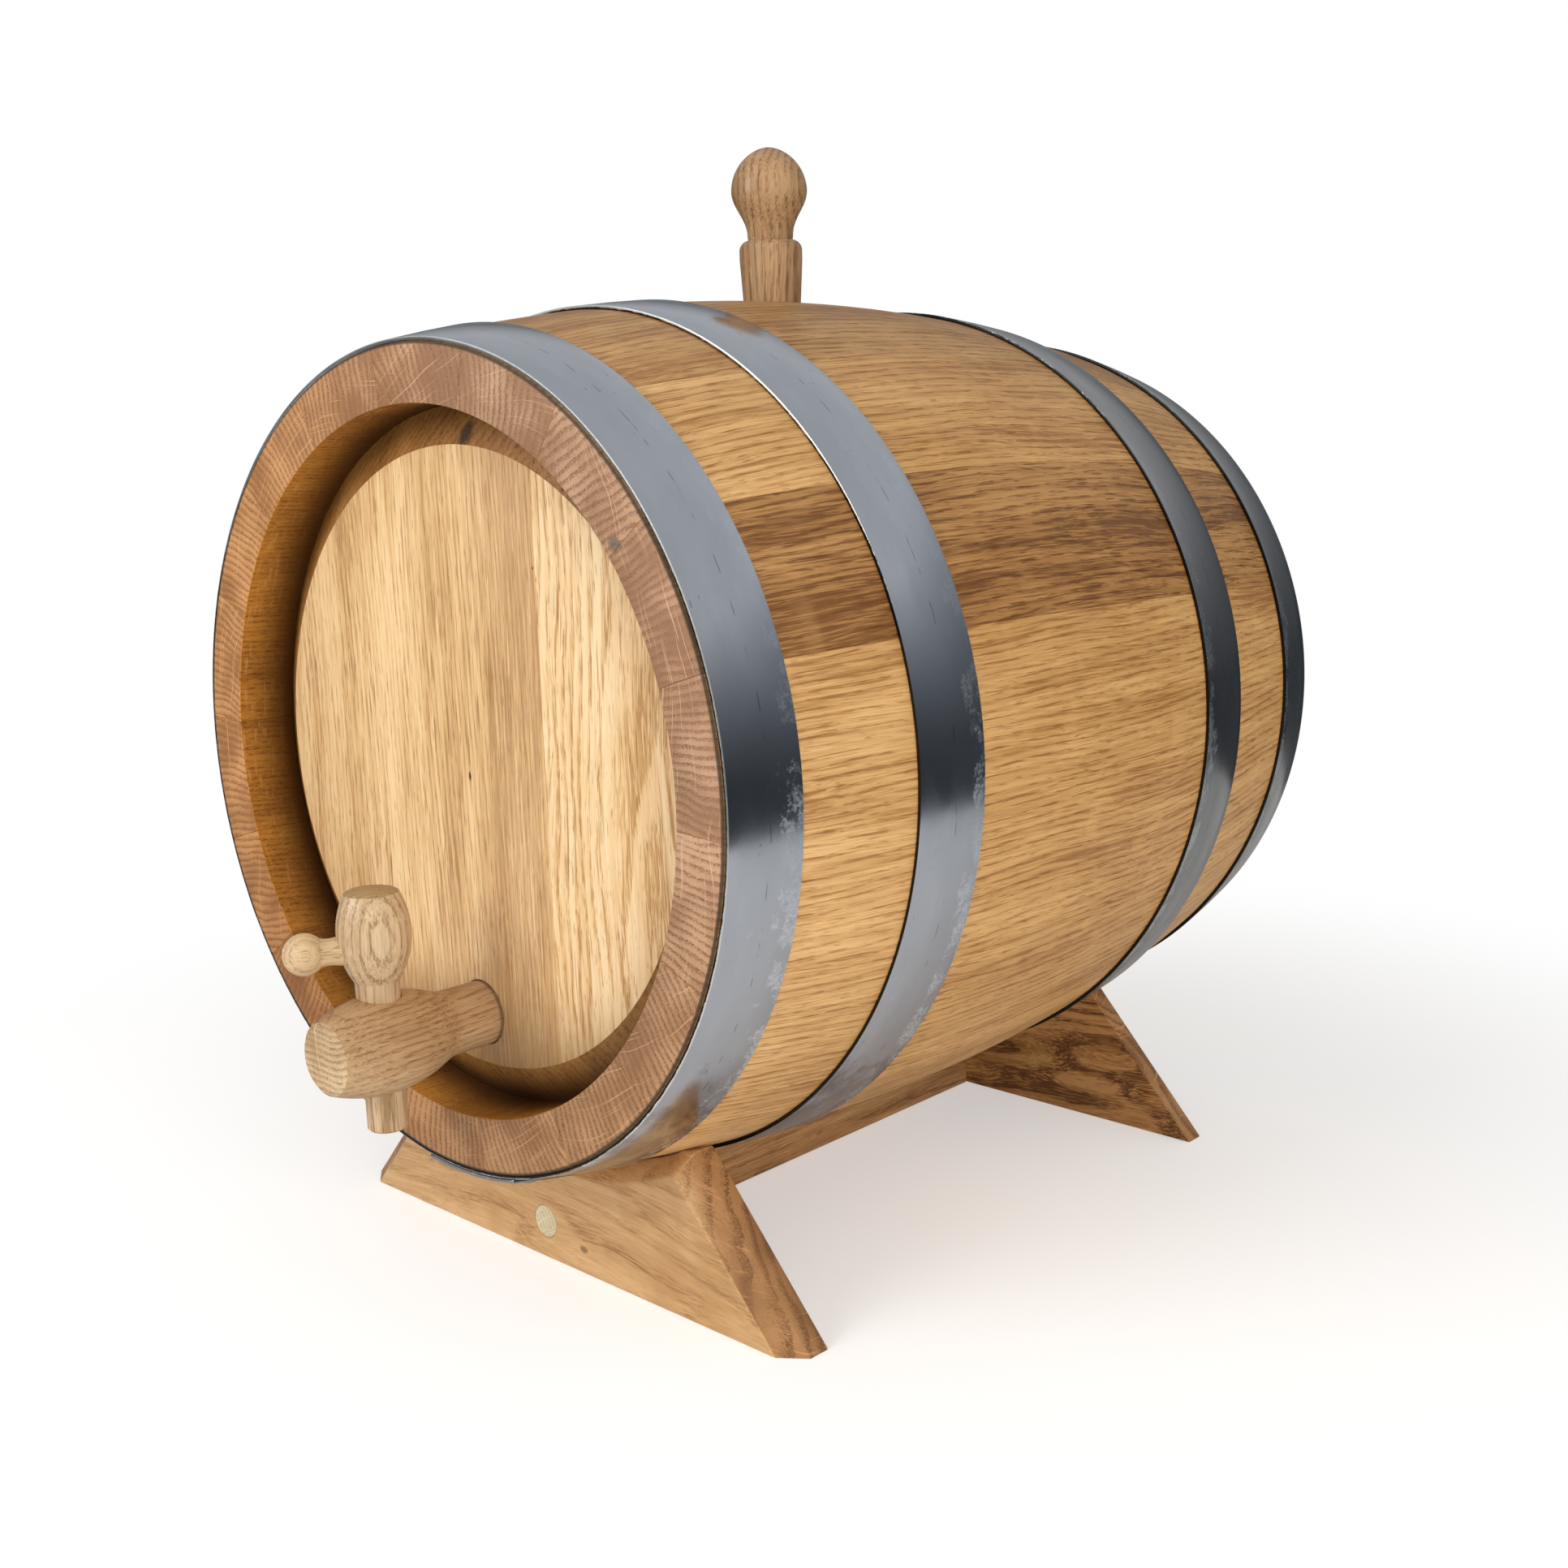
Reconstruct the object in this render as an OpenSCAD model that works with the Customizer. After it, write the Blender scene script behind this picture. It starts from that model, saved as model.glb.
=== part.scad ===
// Small oak cask on a cradle, with a turned bung and a turned spigot, for serving spirits.
// Millimetres. +Z up, the cask lies along Y, the spigot is at -Y, +X is to the right of someone
// who faces the spigot head-on and looks along +Y. The origin is on the floor under the cask's middle.

/* [Cask] */
// Length over both chimes
cask_length = 238; // [180:1:320]
// Outer diameter of the wood at the chimes
chime_d = 193; // [170:1:200]
// Outer diameter of the wood at the bilge
bilge_d = 218.8; // [204:0.2:230]
// Radial width of a chime's end face
chime_wall = 13.3; // [10:0.1:18]
// Thickness of a stave at the bilge
bilge_wall = 12; // [9:0.5:16]
// Width of the cylindrical howel, from the chime inwards
howel_width = 26; // [24:0.5:34]
// Angle of the first seam, from straight up towards +X
first_seam = -7; // [-8:0.5:-5]

/* [Heads] */
// Depth of a head's outer face below the chime
head_recess = 11; // [8:0.5:14]
// Thickness of a head
head_thickness = 11; // [10:0.5:14]
// Width of the bevelled rim on a head's outer face
head_bevel_w = 9.1; // [6:0.1:16]
// Depth of the croze groove in the staves
croze_depth = 3; // [2:0.5:5]
// Thickness of the tongue that sits in the croze
croze_tongue = 4; // [3:0.5:5]
// Width of the bevel on a head's inner face
inner_bevel = 6; // [4:0.5:9]
// Play between a head's tongue and the croze, all round
croze_play = 0.1; // [0.05:0.05:0.3]
// Width of a head's middle board
middle_board_w = 58; // [44:1:70]

/* [Hoops] */
// Strip thickness of all hoops
hoop_t = 1; // [0.8:0.1:1.4]
// Strip width of the two head hoops
head_hoop_w = 18.5; // [15:0.5:22]
// Strip width of the two quarter hoops
quarter_hoop_w = 20; // [16:0.5:24]
// How far the chime stands out of its head hoop
hoop_setback = 0.3; // [0.3:0.1:2]
// Middle of the front quarter hoop, from the front chime
front_quarter_inset = 59.7; // [54:0.1:70]
// Middle of the rear quarter hoop, from the rear chime
rear_quarter_inset = 63.5; // [54:0.1:70]
// Gap between a hoop and the wood under it
hoop_play = 0.02; // [0.01:0.01:0.05]
// Length of the riveted lap, along the hoop
lap_length = 33; // [24:1:40]
// Angle of the lap's middle, from straight down towards +X
lap_angle = 3.5; // [-10:0.5:10]
// Distance between the two rivets of a lap
rivet_pitch = 20; // [14:1:26]
// Diameter of a rivet's head
rivet_head_d = 5.6; // [4:0.2:7]
// Height of a rivet's head
rivet_head_h = 1.2; // [0.8:0.1:1.5]
// Diameter of a rivet's shank
rivet_shank_d = 3; // [2:0.2:3.6]

/* [Bung] */
// Distance of the bung from the cask's middle, towards the rear
bung_y = 1.5; // [-10:0.5:10]
// Diameter of the bung's shank where it leaves the stave
bung_d = 15.4; // [12:0.2:18]
// Taper of the shank: loss of diameter per millimetre of depth
bung_taper = 0.06; // [0.04:0.01:0.1]
// Radial play of the bung in its hole
bung_play = 0.1; // [0.05:0.01:0.2]
// How far the shank stands out under the stave
bung_tip = 3; // [1:0.5:6]
// Height of the collar over the stave
bung_collar_h = 11.4; // [8:0.2:14]
// Diameter of the collar at its shoulder
bung_collar_d = 16.8; // [14:0.2:20]
// Corner radius of the collar's shoulder
bung_shoulder_r = 2.6; // [1:0.2:4]
// Diameter of the neck
bung_neck_d = 12.3; // [9:0.1:14]
// Height of the neck over the stave
bung_neck_h = 17; // [14:0.2:20]
// Diameter of the ball
bung_ball_d = 20.4; // [16:0.2:26]
// Height of the ball's middle over the stave
bung_ball_h = 30; // [26:0.2:36]

/* [Spigot] */
// Distance of the spigot's axis from the howel, at the bottom of the head
spigot_inset = 21.8; // [18:0.2:34]
// Distance from the head's face to the spigot's front end
spigot_reach = 44.7; // [40:0.1:60]
// Distance from the head's face to the key's axis
key_reach = 29; // [27:0.1:34]
// Diameter of the front end
spigot_front_d = 16.4; // [12:0.2:20]
// Diameter at the belly, under the key
spigot_belly_d = 23.6; // [20:0.2:30]
// Diameter of the neck, between the belly and the head
spigot_neck_d = 15.8; // [13:0.2:18]
// Diameter of the root at its inner end
spigot_tip_d = 14.6; // [11:0.2:15]
// How far the root stands out inside the cask
spigot_tip = 6; // [3:0.5:12]
// Radius of the hollow between belly and neck
spigot_fillet_r = 12; // [6:1:16]
// Gap between the root and its hole in the head
spigot_seat_play = 0.05; // [0.02:0.01:0.1]
// Diameter of the waterway
waterway_d = 5; // [4:0.2:6]

/* [Key] */
// Height of the key's top over the spigot's axis
key_top_h = 36.2; // [30:0.2:46]
// Height of the widest part of the key's head over the spigot's axis
key_belly_h = 26.4; // [20:0.2:30]
// Diameter of the key's head
key_belly_d = 17; // [14:0.2:22]
// Diameter of the key's flat top
key_top_d = 12.1; // [8:0.1:13]
// Diameter of the shank under the key's head
key_shank_d = 10.3; // [9:0.1:12]
// Height of the shank's upper end over the spigot's axis
key_shank_h = 15; // [13:0.2:18]
// Taper of the shank: loss of diameter per millimetre of depth
key_taper = 0.03; // [0.02:0.005:0.05]
// How far the shank's lower end lies below the spigot's axis
key_tail = 20.6; // [16:0.2:26]
// Radial play of the key in the spigot
key_play = 0.05; // [0.02:0.01:0.1]
// Height of the peg over the spigot's axis
peg_h = 22.9; // [20:0.1:26]
// Direction of the peg at rest, from straight forward towards -X
peg_angle = 29; // [0:1:60]
// Distance from the key's axis to the peg's outer end
peg_reach = 20.6; // [17:0.2:24]
// Diameter of the peg's ball end
peg_ball_d = 9.8; // [8:0.2:12]
// Diameter of the peg's stem
peg_stem_d = 5.8; // [4:0.1:7]
// Depth of the peg's hole, from the widest part of the key
peg_hole = 5.5; // [4:0.1:6]
// Play between the peg and its hole
peg_play = 0.03; // [0.02:0.01:0.1]

/* [Cradle] */
// Thickness of the boards and the rail
board_t = 11.2; // [8:0.2:16]
// Width of a board on the floor
board_w = 169.6; // [150:0.2:190]
// Height of a board's tips over the floor
tip_h = 40.4; // [34:0.2:44]
// Slope of a board's ends, from the floor
end_slope = 48.4; // [42:0.2:56]
// Width of the bevel along a board's outer edges
board_bevel = 5; // [2:0.2:7]
// Distance of a board's outer face from the chime above it
cradle_inset = 28.4; // [21:0.2:32]
// Gap between the saddles and the staves
saddle_play = 0.3; // [0.1:0.05:0.5]
// Height of the rail
rail_h = 20; // [16:0.5:30]
// Gap between the rail and the bilge above it
rail_gap = 3; // [1.5:0.1:12]
// Distance of the rail's middle from the cask's middle plane, towards -X
rail_offset = 2.5; // [0:0.5:6]
// Diameter of the dowels that join the boards to the rail
dowel_d = 8.4; // [6:0.2:9]
// Length of a dowel
dowel_length = 30; // [24:1:40]
// Height of the dowels over the floor
dowel_h = 10; // [8:0.2:12]
// Play between a dowel and its hole
dowel_play = 0.05; // [0.02:0.01:0.1]

/* [Hidden] */
// One node each, so the count is fixed.
stave_count = 18;
$fn = 96;
arc_fn = 720;
eps = 0.01;
half_length = cask_length / 2;
chime_r = chime_d / 2;
bilge_r = bilge_d / 2;
axis_z = rail_h + rail_gap + bilge_r;
stave_angle = 360 / stave_count;
// One arc in side view gives the staves' outer surface, another the hollowed belly inside.
function arc_radius(half_chord, rise) = (half_chord * half_chord + rise * rise) / (2 * rise);
outer_arc_r = arc_radius(half_length, bilge_r - chime_r);
howel_r = chime_r - chime_wall;
howel_y = half_length - howel_width;
inner_bilge_r = bilge_r - bilge_wall;
hollow_rise = inner_bilge_r - howel_r;
inner_arc_r = arc_radius(howel_y, hollow_rise);
function cask_r(y) = sqrt(outer_arc_r * outer_arc_r - y * y) - outer_arc_r + bilge_r;
function cask_slope(y) = asin(y / outer_arc_r);
head_face_y = half_length - head_recess;
head_bevel = (head_thickness - croze_tongue) * 0.7;
croze_y = head_face_y - head_bevel - croze_tongue / 2;
rim_r = howel_r - croze_play;
tongue_r = rim_r + croze_depth;
head_hoop_y = half_length - hoop_setback - head_hoop_w / 2;
front_quarter_y = half_length - front_quarter_inset;
rear_quarter_y = half_length - rear_quarter_inset;
bung_base_z = axis_z + cask_r(bung_y);
bung_hole_z = axis_z + howel_r;
bung_tip_z = axis_z + inner_bilge_r - bung_tip;
spigot_z = axis_z - howel_r + spigot_inset;
key_y = -head_face_y - key_reach;
key_head_arc_r = arc_radius(key_top_h - key_belly_h, (key_belly_d - key_top_d) / 2);
cradle_length = cask_length - 2 * cradle_inset;
board_y = cradle_length / 2 - board_t;

// Puts something drawn about the local Z axis on the cask's axis, with local Z along +Y.
module on_cask_axis() translate([0, 0, axis_z]) rotate([-90, 0, 0]) children();
module on_spigot_axis() translate([0, 0, spigot_z]) rotate([-90, 0, 0]) children();
module on_key_axis() translate([0, key_y, spigot_z]) children();

// ---- Staves ----

// Half section of a stave: x is the radius, y runs along the cask.
module stave_profile() {
  difference() {
    intersection() {
      translate([howel_r, -half_length]) square([bilge_r - howel_r + 1, cask_length]);
      translate([bilge_r - outer_arc_r, 0]) circle(r = outer_arc_r, $fn = arc_fn);
    }
    intersection() {
      translate([howel_r - 1, -howel_y]) square([hollow_rise + 2, 2 * howel_y]);
      translate([inner_bilge_r - inner_arc_r, 0]) circle(r = inner_arc_r, $fn = arc_fn);
    }
    for (side = [-1, 1])
      translate([howel_r + croze_depth / 2 - 1, side * croze_y])
        square([croze_depth + 2, croze_tongue + 2 * croze_play], center = true);
  }
}

// Stave number k covers one sector, counted from the bung stave towards +X.
module stave(k) {
  on_cask_axis()
    rotate([0, 0, first_seam - 90 + (k - 1) * stave_angle])
      rotate_extrude(angle = stave_angle) stave_profile();
}

// Tapered hole for the bung, wide enough to lift it straight out.
module bung_hole() {
  depth = bung_base_z + 2 - bung_hole_z;
  translate([0, bung_y, bung_hole_z])
    cylinder(r1 = bung_shank_r(bung_hole_z) + bung_play,
             r2 = bung_shank_r(bung_hole_z + depth) + bung_play, h = depth);
}

module stave_01() color("burlywood") difference() { stave(1); bung_hole(); }
module stave_02() color("burlywood") stave(2);
module stave_03() color("burlywood") stave(3);
module stave_04() color("peru") stave(4);
module stave_05() color("burlywood") stave(5);
module stave_06() color("burlywood") stave(6);
module stave_07() color("burlywood") stave(7);
module stave_08() color("burlywood") stave(8);
module stave_09() color("burlywood") stave(9);
module stave_10() color("burlywood") stave(10);
module stave_11() color("burlywood") stave(11);
module stave_12() color("burlywood") stave(12);
module stave_13() color("burlywood") stave(13);
module stave_14() color("burlywood") stave(14);
module stave_15() color("burlywood") stave(15);
module stave_16() color("burlywood") stave(16);
module stave_17() color("burlywood") stave(17);
module stave_18() color("burlywood") stave(18);

// ---- Heads ----

// Half section of a head, with its outer face at y = 0 and the cask's inside at -y.
// Both bevels end at the howel, and the tongue between them stands out into the croze.
module head_profile() {
  polygon([
    [0, 0], [rim_r - head_bevel_w, 0], [rim_r, -head_bevel],
    [tongue_r, -head_bevel], [tongue_r, -head_bevel - croze_tongue],
    [rim_r, -head_bevel - croze_tongue], [rim_r - inner_bevel, -head_thickness],
    [0, -head_thickness]
  ]);
}

// side is 1 for the rear head and -1 for the front one; part is -1, 0 or 1 from -X to +X.
module head_board(side, part) {
  span = part == 0 ? middle_board_w : bilge_r;
  start = part == 0 ? -middle_board_w / 2
        : part < 0 ? -middle_board_w / 2 - bilge_r : middle_board_w / 2;
  intersection() {
    translate([0, side * head_face_y, axis_z]) rotate([-90 * side, 0, 0])
      rotate_extrude() head_profile();
    translate([start, -cask_length, axis_z - bilge_r])
      cube([span, 2 * cask_length, 2 * bilge_r]);
  }
}

module front_head_left() color("wheat") head_board(-1, -1);
module front_head_middle() color("wheat") difference() {
  head_board(-1, 0);
  spigot_hole();
}
module front_head_right() color("wheat") head_board(-1, 1);
module rear_head_left() color("wheat") head_board(1, -1);
module rear_head_middle() color("wheat") head_board(1, 0);
module rear_head_right() color("wheat") head_board(1, 1);

// ---- Hoops ----

// Angle about the cask's axis of a length along a hoop.
function hoop_angle(length) = length / (chime_r + hoop_t) * 180 / PI;
lap_span = hoop_angle(lap_length);
lap_mid = 90 - lap_angle;

// Strip section of a hoop at station y, raised by so much from the wood and splayed with it.
module strip_profile(y, w, lift) {
  translate([cask_r(y), y]) rotate(cask_slope(y))
    translate([hoop_play + lift, -w / 2]) square([hoop_t, w]);
}

// Carries its children to a rivet on the lap at station y; local Z points out of the hoop.
module at_rivets(y) {
  for (end = [-1, 1])
    on_cask_axis()
      rotate([0, 0, lap_mid + end * hoop_angle(rivet_pitch) / 2])
        translate([cask_r(y), 0, y]) rotate([0, 90 - cask_slope(y), 0])
          translate([0, 0, hoop_play]) children();
}

// A riveted hoop: the strip's outer end lies over its inner end along the lap.
module hoop(y, w) {
  difference() {
    on_cask_axis() {
      rotate_extrude() strip_profile(y, w, 0);
      rotate([0, 0, lap_mid - lap_span / 2])
        rotate_extrude(angle = lap_span) strip_profile(y, w, hoop_t - eps);
    }
    at_rivets(y) cylinder(d = rivet_shank_d, h = 6 * hoop_t, center = true);
  }
}

module rivet() {
  head_arc_r = arc_radius(rivet_head_d / 2, rivet_head_h);
  rotate_extrude() {
    square([rivet_shank_d / 2 - hoop_play, 2 * hoop_t + 0.1]);
    intersection() {
      translate([0, 2 * hoop_t + 0.06]) square([rivet_head_d, rivet_head_h]);
      translate([0, 2 * hoop_t + 0.06 + rivet_head_h - head_arc_r]) circle(r = head_arc_r);
    }
  }
}

module front_head_hoop() color("lightslategray") hoop(-head_hoop_y, head_hoop_w);
module front_quarter_hoop() color("lightslategray") hoop(-front_quarter_y, quarter_hoop_w);
module rear_quarter_hoop() color("lightslategray") hoop(rear_quarter_y, quarter_hoop_w);
module rear_head_hoop() color("lightslategray") hoop(head_hoop_y, head_hoop_w);
module hoop_rivets() color("slategray")
  for (y = [-head_hoop_y, -front_quarter_y, rear_quarter_y, head_hoop_y]) at_rivets(y) rivet();

// ---- Bung ----

// Radius of the bung's tapered shank at height z.
function bung_shank_r(z) = bung_d / 2 + (z - bung_base_z) * bung_taper / 2;

// Half section of the bung, with y = 0 at the stave's surface.
module bung_profile() {
  collar_r = bung_collar_d / 2;
  neck_r = bung_neck_d / 2;
  ball_r = bung_ball_d / 2;
  tip = bung_tip_z - bung_base_z;
  waist = bung_ball_h - ball_r * 0.72;
  waist_r = sqrt(ball_r * ball_r - pow(bung_ball_h - waist, 2));
  shoulder = bung_neck_h - bung_shoulder_r - 0.6;
  polygon([
    [0, tip], [bung_shank_r(bung_tip_z), tip], [bung_d / 2, 0],
    [collar_r, bung_collar_h], [collar_r, shoulder],
    [collar_r - bung_shoulder_r, shoulder], [collar_r - bung_shoulder_r, bung_neck_h - 0.6],
    [neck_r, bung_neck_h - 0.6], [neck_r, bung_neck_h], [waist_r, waist], [0, waist]
  ]);
  intersection() {
    translate([collar_r - bung_shoulder_r, shoulder]) circle(r = bung_shoulder_r);
    translate([0, shoulder - 1]) square([collar_r + 1, bung_shoulder_r + 1]);
  }
  intersection() {
    translate([0, bung_ball_h]) circle(r = ball_r);
    translate([0, waist]) square([ball_r, bung_ball_d]);
  }
}

module bung() color("peru")
  translate([0, bung_y, bung_base_z]) rotate_extrude() bung_profile();

// ---- Spigot ----

root_length = head_thickness + spigot_tip;

// Tapered hole for the spigot's root, reaching a little way out of the head's face.
module spigot_hole() {
  out = 2;
  loss = (spigot_neck_d - spigot_tip_d) / 2 / root_length;
  on_spigot_axis() translate([0, 0, -head_face_y - out])
    cylinder(r1 = spigot_neck_d / 2 + spigot_seat_play + loss * out,
             r2 = spigot_tip_d / 2 + spigot_seat_play, h = root_length + out);
}

// Half section of the turned body: x is the radius, y runs along +Y.
module spigot_profile() {
  front_y = -head_face_y - spigot_reach;
  belly_r = spigot_belly_d / 2;
  neck_r = spigot_neck_d / 2;
  belly_arc_r = arc_radius(key_y - front_y, belly_r - spigot_front_d / 2);
  belly_c = belly_r - belly_arc_r;
  // The hollow's arc touches the belly's arc and the neck.
  hollow_r = neck_r + spigot_fillet_r;
  reach = belly_arc_r + spigot_fillet_r;
  hollow_y = key_y + sqrt(reach * reach - pow(hollow_r - belly_c, 2));
  touch_y = key_y + (hollow_y - key_y) * belly_arc_r / reach;
  intersection() {
    translate([0, front_y]) square([spigot_belly_d, touch_y - front_y]);
    translate([belly_c, key_y]) circle(r = belly_arc_r, $fn = arc_fn);
  }
  difference() {
    translate([0, touch_y]) square([belly_r, hollow_y - touch_y]);
    translate([hollow_r, hollow_y]) circle(r = spigot_fillet_r);
  }
  // The neck, then the tapered root in the head.
  polygon([
    [0, hollow_y], [neck_r, hollow_y], [neck_r, -head_face_y],
    [spigot_tip_d / 2, -head_face_y + root_length], [0, -head_face_y + root_length]
  ]);
}

// Radius of the key's tapered shank at a height over the spigot's axis.
function key_shank_r(h) = key_shank_d / 2 + (h - key_shank_h) * key_taper / 2;

module spigot_body() color("tan") difference() {
  on_spigot_axis() rotate_extrude() spigot_profile();
  on_spigot_axis() translate([0, 0, key_y])
    cylinder(d = waterway_d, h = cask_length);
  on_key_axis() translate([0, 0, -spigot_belly_d])
    cylinder(r1 = key_shank_r(-spigot_belly_d) + key_play,
             r2 = key_shank_r(spigot_belly_d) + key_play, h = 2 * spigot_belly_d);
}

// Half section of the key, with y = 0 at the spigot's axis.
module key_profile() {
  intersection() {
    translate([0, key_shank_h - 1]) square([key_belly_d, key_top_h - key_shank_h + 1]);
    translate([key_belly_d / 2 - key_head_arc_r, key_belly_h])
      circle(r = key_head_arc_r, $fn = arc_fn);
  }
  polygon([
    [0, -key_tail], [key_shank_r(-key_tail) - 0.5, -key_tail],
    [key_shank_r(-key_tail), -key_tail + 0.5], [key_shank_r(key_shank_h), key_shank_h],
    [0, key_shank_h]
  ]);
}

// The peg's direction: local Z runs from the key's axis along the peg.
module on_peg_axis() on_key_axis() translate([0, 0, peg_h])
  rotate([0, 0, -peg_angle]) rotate([90, 0, 0]) children();

peg_hole_start = key_belly_d / 2 - peg_hole;

// The waterway leaves the spigot's bore by a side port and runs down out of the key's tail.
module spigot_key() color("tan") difference() {
  on_key_axis() rotate_extrude() key_profile();
  on_key_axis() translate([0, 0, -key_tail - 1])
    cylinder(d = waterway_d, h = key_tail + waterway_d / 2 + 2);
  on_key_axis() rotate([0, 0, -peg_angle]) rotate([0, 90, 0])
    cylinder(d = waterway_d, h = key_belly_d);
  on_peg_axis() translate([0, 0, peg_hole_start])
    cylinder(d = peg_stem_d + 2 * peg_play, h = key_belly_d);
}

// Half section of the peg: y is the distance from the key's axis.
module peg_profile() {
  ball_r = peg_ball_d / 2;
  ball_y = peg_reach - ball_r;
  flare_y = ball_y - ball_r * 0.62;
  flare_r = sqrt(ball_r * ball_r - pow(ball_y - flare_y, 2));
  start = peg_hole_start + peg_play;
  polygon([
    [0, start], [peg_stem_d / 2, start],
    [peg_stem_d / 2, key_belly_d / 2 + 1], [flare_r, flare_y], [0, flare_y]
  ]);
  intersection() {
    translate([0, ball_y]) circle(r = ball_r);
    translate([0, flare_y]) square([ball_r, peg_ball_d]);
  }
}

module key_peg() color("wheat") on_peg_axis() rotate_extrude() peg_profile();

// ---- Cradle ----

// The saddle follows the staves' splay between the board's faces, which lie at y0 and y0 + board_t.
module saddle_cut(y0) {
  r0 = cask_r(y0) + saddle_play;
  r1 = cask_r(y0 + board_t) + saddle_play;
  over = (r1 - r0) / board_t;
  on_cask_axis() translate([0, 0, y0 - 1])
    cylinder(r1 = r0 - over, r2 = r1 + over, h = board_t + 2, $fn = arc_fn);
}

// A board with its outer face towards -Y, its ends sloped and its outer arris bevelled.
module cradle_board() {
  tip_x = board_w / 2 - tip_h / tan(end_slope);
  outer_y = -cradle_length / 2;
  edge_r = cask_r(outer_y) + saddle_play;
  difference() {
    translate([0, outer_y + board_t, 0]) rotate([90, 0, 0]) linear_extrude(board_t)
      polygon([[-board_w / 2, 0], [board_w / 2, 0], [tip_x, tip_h], [-tip_x, tip_h]]);
    saddle_cut(outer_y);
    on_cask_axis() translate([0, 0, outer_y - 1])
      cylinder(r1 = edge_r + board_bevel + 1, r2 = edge_r - 1, h = board_bevel + 2, $fn = arc_fn);
    for (side = [-1, 1])
      translate([side * board_w / 2, outer_y, 0]) rotate([0, side * (end_slope - 90), 0])
        rotate([0, 0, side * -45])
          translate([side * (board_bevel - board_bevel / sqrt(2)), 0, 0])
            cube([2 * board_bevel, 4 * board_bevel, 2 * board_w], center = true);
    dowel(dowel_play);
  }
}

// The dowel of the front board, flush with its outer face.
module dowel(play) {
  translate([-rail_offset, -cradle_length / 2 - (play > 0 ? 1 : 0), dowel_h]) rotate([-90, 0, 0])
    cylinder(r = dowel_d / 2 + play, h = dowel_length + (play > 0 ? 1 + play : 0));
}

module front_board() color("peru") cradle_board();
module rear_board() color("peru") mirror([0, 1, 0]) cradle_board();
module rail() color("peru") difference() {
  translate([-rail_offset - board_t / 2, -board_y, 0]) cube([board_t, 2 * board_y, rail_h]);
  dowel(dowel_play);
  mirror([0, 1, 0]) dowel(dowel_play);
}
module rail_dowels() color("wheat") {
  dowel(0);
  mirror([0, 1, 0]) dowel(0);
}

stave_01();
stave_02();
stave_03();
stave_04();
stave_05();
stave_06();
stave_07();
stave_08();
stave_09();
stave_10();
stave_11();
stave_12();
stave_13();
stave_14();
stave_15();
stave_16();
stave_17();
stave_18();
front_head_left();
front_head_middle();
front_head_right();
rear_head_left();
rear_head_middle();
rear_head_right();
front_head_hoop();
front_quarter_hoop();
rear_quarter_hoop();
rear_head_hoop();
hoop_rivets();
bung();
spigot_body();
spigot_key();
key_peg();
front_board();
rear_board();
rail();
rail_dowels();
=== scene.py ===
# %% [markdown]
# # A small oak cask on its cradle
# The object is a coopered cask of 18 staves and two heads, held by four riveted hoops. A turned
# bung closes the top, a turned spigot with a key sits low in the front head, and two boards joined
# by a rail carry the cask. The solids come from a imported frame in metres. This lesson dresses them:
# it builds each visible piece again with softened arrises and gives it real wood or real steel.

import math

import bmesh
import bpy
from mathutils import Matrix, Vector, noise


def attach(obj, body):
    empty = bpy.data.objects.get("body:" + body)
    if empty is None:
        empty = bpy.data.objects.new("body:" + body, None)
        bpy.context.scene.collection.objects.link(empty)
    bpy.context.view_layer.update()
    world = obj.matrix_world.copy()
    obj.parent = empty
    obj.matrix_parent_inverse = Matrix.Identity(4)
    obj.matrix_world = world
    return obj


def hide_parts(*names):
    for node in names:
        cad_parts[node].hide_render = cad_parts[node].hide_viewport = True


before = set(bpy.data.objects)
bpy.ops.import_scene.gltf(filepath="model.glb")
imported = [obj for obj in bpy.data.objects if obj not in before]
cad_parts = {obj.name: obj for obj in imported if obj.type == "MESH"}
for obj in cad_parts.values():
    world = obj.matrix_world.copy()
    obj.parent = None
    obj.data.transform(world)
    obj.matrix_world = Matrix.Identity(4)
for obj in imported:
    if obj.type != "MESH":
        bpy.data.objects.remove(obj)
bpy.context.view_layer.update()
scene = bpy.context.scene

# %% [markdown]
# ## The camera
# The picture was taken by someone who stood in front of the cask and to its right, a little above
# it, and came close: the front looks much larger than the rear. A camera like that needs a place,
# three angles and a lens. We turn it in the order a photographer does: first towards the cask, then
# down, and last a small roll, because a hand-held camera is never quite level.

# %% Camera
MM = 0.001
CAMERA_AT = Vector((337.6, -355.6, 201.8)) * MM
CAMERA_YAW, CAMERA_DOWN, CAMERA_ROLL = 43.47, 10.55, -1.69
PHOTO_SIDE, FOCAL_PIXELS, SENSOR = 1932, 2177, 36


def rotation(degrees, axis):
    """The matrix of a turn about an axis."""
    return Matrix.Rotation(math.radians(degrees), 4, axis)


camera_data = bpy.data.cameras.new("photo_camera")
camera_data.sensor_width = SENSOR
camera_data.lens = SENSOR * FOCAL_PIXELS / PHOTO_SIDE
camera_data.clip_start = 0.01
camera = bpy.data.objects.new("photo_camera", camera_data)
camera.matrix_world = (
    Matrix.Translation(CAMERA_AT)
    @ rotation(CAMERA_YAW, "Z")
    @ rotation(90 - CAMERA_DOWN, "X")
    @ rotation(CAMERA_ROLL, "Z")
)
scene.collection.objects.link(camera)
scene.camera = camera
scene.view_settings.view_transform = "Standard"
print("lens in mm:", round(camera_data.lens, 2))

# %% [markdown]
# ## Short words for shader nodes
# A material is a graph. Written out in full, each node takes four or five lines, and the idea gets
# lost. These helpers add one node each and return its output, so a graph reads like a formula.

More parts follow.
